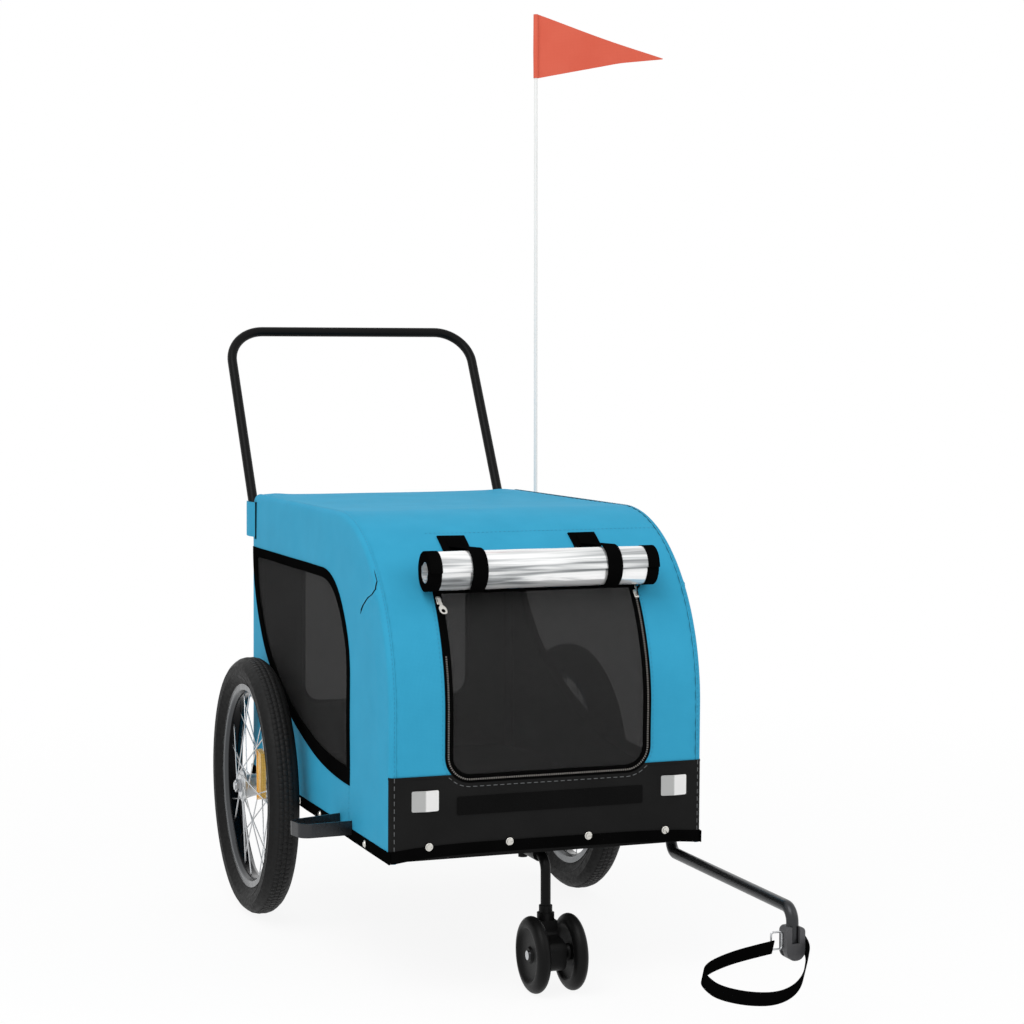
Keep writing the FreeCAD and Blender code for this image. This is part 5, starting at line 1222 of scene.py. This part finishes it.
# %% Kick panel details
hook = cut_cloth("hook_tape", hook_tape, rounded(-133, 138, 61, 86, 2), lifted(wrap, 1.5), spacing=6, thick=1.1)
settle(hook, "cloth_black")
seam = cut_cloth("kick_panel_fold", black_cloth, rectangle(-KICK_EDGE, KICK_EDGE, KICK - 3, KICK + 0.6),
                 lambda x, v: kick(x, v, 1.8 - 0.12 * (v - KICK + 1.2) ** 2), [door_loop("front", TAPE_OUT)],
                 spacing=3, thick=1.0)
settle(seam, "cloth_black")
patches = []
for name, sign in SIDES:
    middle = sign * (HALF - 45) + 3.5
    patch = cut_cloth(f"{name}_front_patch", silver_tape, rounded(middle - 19, middle + 19, 69, 97, 2, 1),
                      lambda x, v: wrap(x, v, 4.2 - 0.14 * abs(x - middle)), spacing=3, thick=1.6)
    patches.append(settle(patch, "patch_silver", *(["front_patches"] if sign < 0 else [])))

# %% Hems and studs
FRONT_HEM, SIDE_HEM, HEM_THICK = 17, 16, 1.8
STUD_STEP = 115


def ripple(a, b, seed=0):
    """The small waves of a hem."""
    return 0.4 * noise.noise(Vector((a / 40, b / 20, seed)))


hems = []
for name, low, high, lay in (("front_hem", 0, FRONT_HEM, kick),
                             ("rear_hem", REAR_RUN - SIDE_HEM, REAR_RUN, wrap)):
    strip = cut_cloth(name, black_webbing, rectangle(-HALF - 1.6, HALF + 1.6, low, high),
                      lambda x, v: lay(x, v, 2.4 + ripple(x, v)), thick=HEM_THICK)
    hems.append(settle(strip, "webbing_black", *(["hems"] if lay is kick else [])))
for name, sign in SIDES:
    strip = cut_cloth(f"{name}_hem", black_webbing, rectangle(-1, LONG + 1, LOW, LOW + SIDE_HEM),
                      lambda y, z: at(sign * (HALF + 2.2 + ripple(y, z, 1)), y, z), thick=HEM_THICK,
                      flip=sign < 0)
    hems.append(settle(strip, "webbing_black"))
kick_hole = [(x, min(v, KICK)) for x, v in door_loop("front", HOLE)]
stretched(kick_cloth, kick_loop, [kick_hole], ["side_rails"], [hook, seam, hems[0], *patches])

stud_lines = [on_wrap([(-1.5 * STUD_STEP, v), (1.5 * STUD_STEP, v)], 2.5, 400) for v in (20.8, REAR_RUN - 8)]
for _, sign in SIDES:
    for first, last in ((1, 4), (6, 6)):
        ends = [(at(sign * (HALF + 2.4), k * STUD_STEP - 5.5, LOW + 8), Vector((sign, 0, 0)))
                for k in (first, last)]
        if first == last:  # a single stud: the line needs some length
            ends[1] = (ends[0][0] + Vector((0, 0.0004, 0)), ends[0][1])
        stud_lines.append(ends)
studs = row("press_studs_domed", stud_lines, press_stud, STUD_STEP, nickel)
settle(studs, "stud_metal", "press_studs")

# %% [markdown]
# ## Stitching
# Rows of stitches show how the panels are sewn: along the front's side edges, round the zip,
# over the nose, under the windows' front edges, and in grey on the black kick panel.

# %% Stitch rows
SEW, LONG_SEW = 6.5, 9.5
SEW_LIFT = 0.25
stitch_x = HALF - ROLL_OVER + 1.5
seam_y = WINDOW_FRONT - BINDING + 3
blue_rows = [on_wrap([(sign * stitch_x, KICK + 3), (sign * stitch_x, TAIL_END)], SEW_LIFT, 8)
             for _, sign in SIDES]
beside_zip = [p for p in door_loop("front", TAPE_OUT + 3.5) if p[1] > KICK + 2]
blue_rows += [on_wrap([p for p in beside_zip if p[0] * sign > 0], SEW_LIFT, 6) for _, sign in SIDES]
blue_rows.append(on_wrap([(-130, nose_v(64)), (stitch_x, nose_v(64))], 0.2, 8))
seam_heights = np.arange(LOW + SIDE_HEM, 263, 8)
blue_rows += [[(side(sign, seam_y, z, SEW_LIFT), Vector((sign, 0, 0))) for z in seam_heights]
              for _, sign in SIDES]
settle(row("blue_stitching", blue_rows, stitch, SEW, blue_thread), "cloth_blue")
grey_rows = [on_wrap([(sign * stitch_x, FRONT_HEM + 3), (sign * stitch_x, KICK - 3)], KICK_LIFT, 8, kick)
             for _, sign in SIDES]
grey_rows.append(on_wrap([p for p in door_loop("front", TAPE_OUT + 5) if p[1] < KICK - 3], 0.9, 6))
settle(row("grey_stitching", grey_rows, long_stitch, LONG_SEW, grey_thread), "cloth_black")

# %% [markdown]
# ## Rain cover
# The rain cover is clear film, rolled up on the nose and held by two straps that are sewn on
# above it. It is a spiral carried across, so the turns show at its ends, with a black binding
# on the outer turns.

# %% Rolled film
ROLL_RADIUS, ROLL_PITCH, ROLL_TURNS = 28.6, 3.6, 5
ROLL_FROM, ROLL_TO = -163, 169
ROLL_UP = TOP - 71
ROLL_BACK = NOSE - math.sqrt((NOSE + 1.8 + 29) ** 2 - (ROLL_UP - NOSE_LOW) ** 2)


def spiral(x, angle, grow):
    """A point of the roll: the film starts outside, in front, and winds inwards."""
    loose = noise.noise(Vector((x / 60, 2 * math.cos(angle), 2 * math.sin(angle))))
    radius = ROLL_RADIUS - ROLL_PITCH * angle / (2 * math.pi) + grow + 0.7 * loose
    return at(x, ROLL_BACK - radius * math.cos(angle), ROLL_UP + radius * math.sin(angle))


def rolled(name, x_from, x_to, columns, turns, grow, thick, finish):
    """A strip of the rolled cover between two places across, with its flat length as UV."""
    steps, wide = int(turns * 40), columns + 1
    grid = [(x, turns * 2 * math.pi * i / steps) for i in range(steps + 1)
            for x in np.linspace(x_from, x_to, wide)]
    uvs = [(x * MM, a * (ROLL_RADIUS - ROLL_PITCH * a / (4 * math.pi)) * MM) for x, a in grid]
    faces = [(i * wide + k, i * wide + k + 1, (i + 1) * wide + k + 1, (i + 1) * wide + k)
             for i in range(steps) for k in range(columns)]
    piece = new_piece(name, [spiral(x, a, grow) for x, a in grid], faces, uvs)
    give_thickness(piece, thick, finish)
    return piece


film_roll = rolled("rain_cover_film", ROLL_FROM, ROLL_TO, 40, ROLL_TURNS, 0, 0.7, film)
settle(film_roll, "clear_film", "rain_cover_roll")
film_long = 2 * math.pi * ROLL_TURNS * (ROLL_RADIUS - ROLL_PITCH * ROLL_TURNS / 2)
bound_ends = []
for name, a, b in (("left", ROLL_FROM - 1, ROLL_FROM + 16), ("right", ROLL_TO - 16, ROLL_TO + 1)):
    end = rolled(f"{name}_roll_binding", a, b, 4, 3.4, 0.9, 3.4, black_webbing)
    bound_ends.append(settle(end, "cloth_black"))
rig.sheet(film_roll, flat=((ROLL_TO - ROLL_FROM) * MM, film_long * MM), held="folded",
         rests_on=["front_roof_cover"], with_pieces=bound_ends)

# %% Roll straps
# A strap lies on the nose, goes over the roll and is tighter under it, past the film's free edge.
TAB_HALF, LOOP_WIDE = 20.5, 22
on_nose = np.radians(np.linspace(60, 56, 4))
degrees = np.linspace(88, 314, 40)
strap_path = [(NOSE - (NOSE + 2.4) * math.cos(a), NOSE_LOW + (NOSE + 2.4) * math.sin(a)) for a in on_nose]
strap_path += [(ROLL_BACK + ring * math.cos(a), ROLL_UP + ring * math.sin(a))
               for ring, a in zip(np.interp(degrees, (180, 225), (30.6, 28.3)), np.radians(degrees))]
loops = []
for name, x, tab_x in (("left", -93.5, -97), ("right", 103, 99)):
    strap = sweep(f"{name}_roll_strap", [at(x, y, z) for y, z in strap_path], ACROSS, LOOP_WIDE, 1.3)
    strap.data.materials.append(black_webbing)
    loops.append(strap)
    tab_loop = rounded(tab_x - TAB_HALF, tab_x + TAB_HALF, nose_v(53), nose_v(62), (3, 1), 1.5)
    tab = cut_cloth(f"{name}_strap_tab", black_webbing, tab_loop, lifted(wrap, 1.8), spacing=4, thick=1.6)
    settle(tab, "webbing_black")
settle(loops[0], "webbing_black", "roll_straps")
settle(loops[1], "webbing_black")

# %% [markdown]
# ## Tyres
# A tyre is a profile turned about the axle, with rings moulded in its side walls. Rows of low
# blocks make the tread.

# %% Tyres and tread
WHEEL_X, WHEEL_Y, WHEEL_Z = 266, 590, 200
TREAD_STEP = 9.2
tread_turn = np.linspace(0, 2 * math.pi * (1 - 1 / 136), 181)  # the last block ends before the first
half_profile = [(157.5, 8), (158, 12.5), (160, 14), (163, 15.5), (168, 19.5), (172, 21.8), (173, 22.9),
                (174, 22.3), (179, 23.2), (184, 22.8), (186, 23.1), (187, 22.2), (191, 19.8), (195, 15.2),
                (197.6, 9), (198.5, 3), (198.6, 0)]
profile = half_profile + [(r, -h) for r, h in reversed(half_profile[:-1])] + [half_profile[0]]
for name, sign in SIDES:
    hub_place = at(sign * WHEEL_X, WHEEL_Y, WHEEL_Z)
    tyre = turned(f"{name}_tyre_rubber", profile, 120, hub_place, ACROSS)
    tyre.data.materials.append(rubber)
    settle(tyre, "tyre", f"{name}_tyre", body=f"{name}_wheel")
    lines = []
    for offset, radius, tilt in ((0, 198.5, 0.0), (7.6, 197.9, 0.24), (-7.6, 197.9, -0.24)):
        angles = tread_turn + (0.012 if offset else 0)
        lines.append([(hub_place + Vector((offset, radius * math.cos(a), radius * math.sin(a))) * MM,
                       Vector((tilt, math.cos(a), math.sin(a))).normalized()) for a in angles])
    settle(row(f"{name}_tread", lines, tread_block, TREAD_STEP, rubber), "tyre", body=f"{name}_wheel")

# %% Jockey wheels
# Solid moulded wheels: a round tread, a dished face and a hub.
SPREAD = 2.4       # the discs stand this far out on their hubs
rim_round = [(40 + 12.5 * math.sin(a), 10 * math.cos(a)) for a in np.linspace(0, QUARTER, 12)]
half_profile = [(4.1, 7), (9.4, 7), (10.4, 6), (12, 4), (31, 4), (35, 6), (37.5, 9), (38.5, 9.8)] + rim_round
outer = [(r, h + SPREAD) for r, h in half_profile]
inner = [(r, -h if r < 11 else SPREAD - h) for r, h in reversed(half_profile[:-1])]
for name, sign in SIDES:
    low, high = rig.box(f"jockey_{name}_wheel")
    profile = [(r, h * sign) for r, h in outer + inner + outer[:1]]
    wheel = turned(f"{name}_jockey_tread", profile, 64, (low + high) / 2, ACROSS)
    wheel.data.materials.append(black_plastic)
    settle(wheel, "plastic_black", f"jockey_{name}_wheel", body=f"caster_{name}_wheel")

# %% [markdown]
# ## Flag
# The flag is a light nylon pennant with a sleeve over a white rod. It stands out from the rod
# with a slow wave. The rod stands in a sewn pocket on the right side wall.

# %% Flag and pole pocket
POLE_X, POLE_Y, POLE_TOP, FLAG_HOIST = 231, 665, 1425, 103
root = POLE_X + 4.2
flag_loop = round_corners([(root, POLE_TOP - FLAG_HOIST, 0), (POLE_X + 150, POLE_TOP - 72, 250),
                           (POLE_X + 226, POLE_TOP - 63.5, 0.8), (root, POLE_TOP, 0)])


def flying(x, z):
    """The flag's cloth: a wave that grows away from the rod."""
    away = (x - root) / 225
    return at(x, POLE_Y + away * 9 * math.sin(5.2 * away + 0.012 * (z - POLE_TOP)), z)


flag = cut_cloth("flag_pennant", flag_nylon, flag_loop, flying, thick=0.5)
settle(flag, "flag_orange", "flag", body="flag_set")
sleeve = turned("flag_sleeve", [(3.1, -FLAG_HOIST), (3.9, -FLAG_HOIST), (4.3, -60), (3.9, 0), (3.1, 0)], 16,
                at(POLE_X, POLE_Y, POLE_TOP))
sleeve.data.materials.append(flag_nylon)
settle(sleeve, "flag_orange", body="flag_set")
stretched(flag, flag_loop, [], ["flag_pole"], [sleeve])
pocket = turned("flag_pole_pocket", [(3.1, 0), (4.6, 0.5), (4.9, 20), (4.7, 45), (4.5, 63.5), (3.1, 64)], 20,
                at(POLE_X, POLE_Y, TOP - 68))
pocket.data.materials.append(blue_cloth)
settle(pocket, "cloth_blue", "flag_pocket")

# %% [markdown]
# ## Finishes of the CAD parts
# The tubes, wheels, hubs, spokes, brackets and axles keep their CAD shapes and only take a
# finish.

# %% Dress the CAD nodes
DRESS = {
    black_steel: ("side_rails", "cross_rails", "side_hoops", "roof_tubes", "push_handle",
                  "handle_lugs", "tow_bracket", "jockey_socket", "jockey_stem"),
    board: ("floor_board",),
    rim_alloy: ("left_rim", "right_rim"),
    wire: ("left_spokes", "right_spokes", "strap_ring"),
    alloy: ("left_hub", "right_hub"),
    zinc: ("left_bearings", "right_bearings", "left_axle", "right_axle", "axle_nuts", "handle_bolts",
           "jockey_axle", "tow_snap_ring"),
    amber: ("left_spoke_reflector", "right_spoke_reflector"),
    black_plastic: ("jockey_plunger", "jockey_fork"),
    grey_steel: ("tow_bar", "wheel_guards"),
    grey_plastic: ("coupling",),
    white_rod: ("flag_pole",),
}
for finish, names in DRESS.items():
    for name in names:
        for slot in nodes[name].material_slots:
            slot.material = finish
for shape in (stitch, long_stitch, zip_tooth, tread_block, press_stud):
    bpy.data.objects.remove(shape)
print(sum(len(names) for names in DRESS.values()), "CAD nodes dressed")

# %% Sizes and the end
with open("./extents.json", "w") as sizes:
    json.dump({"cad": [list(corner) for corner in cad_box], "visual": [list(corner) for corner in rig.bounds()]}, sizes)
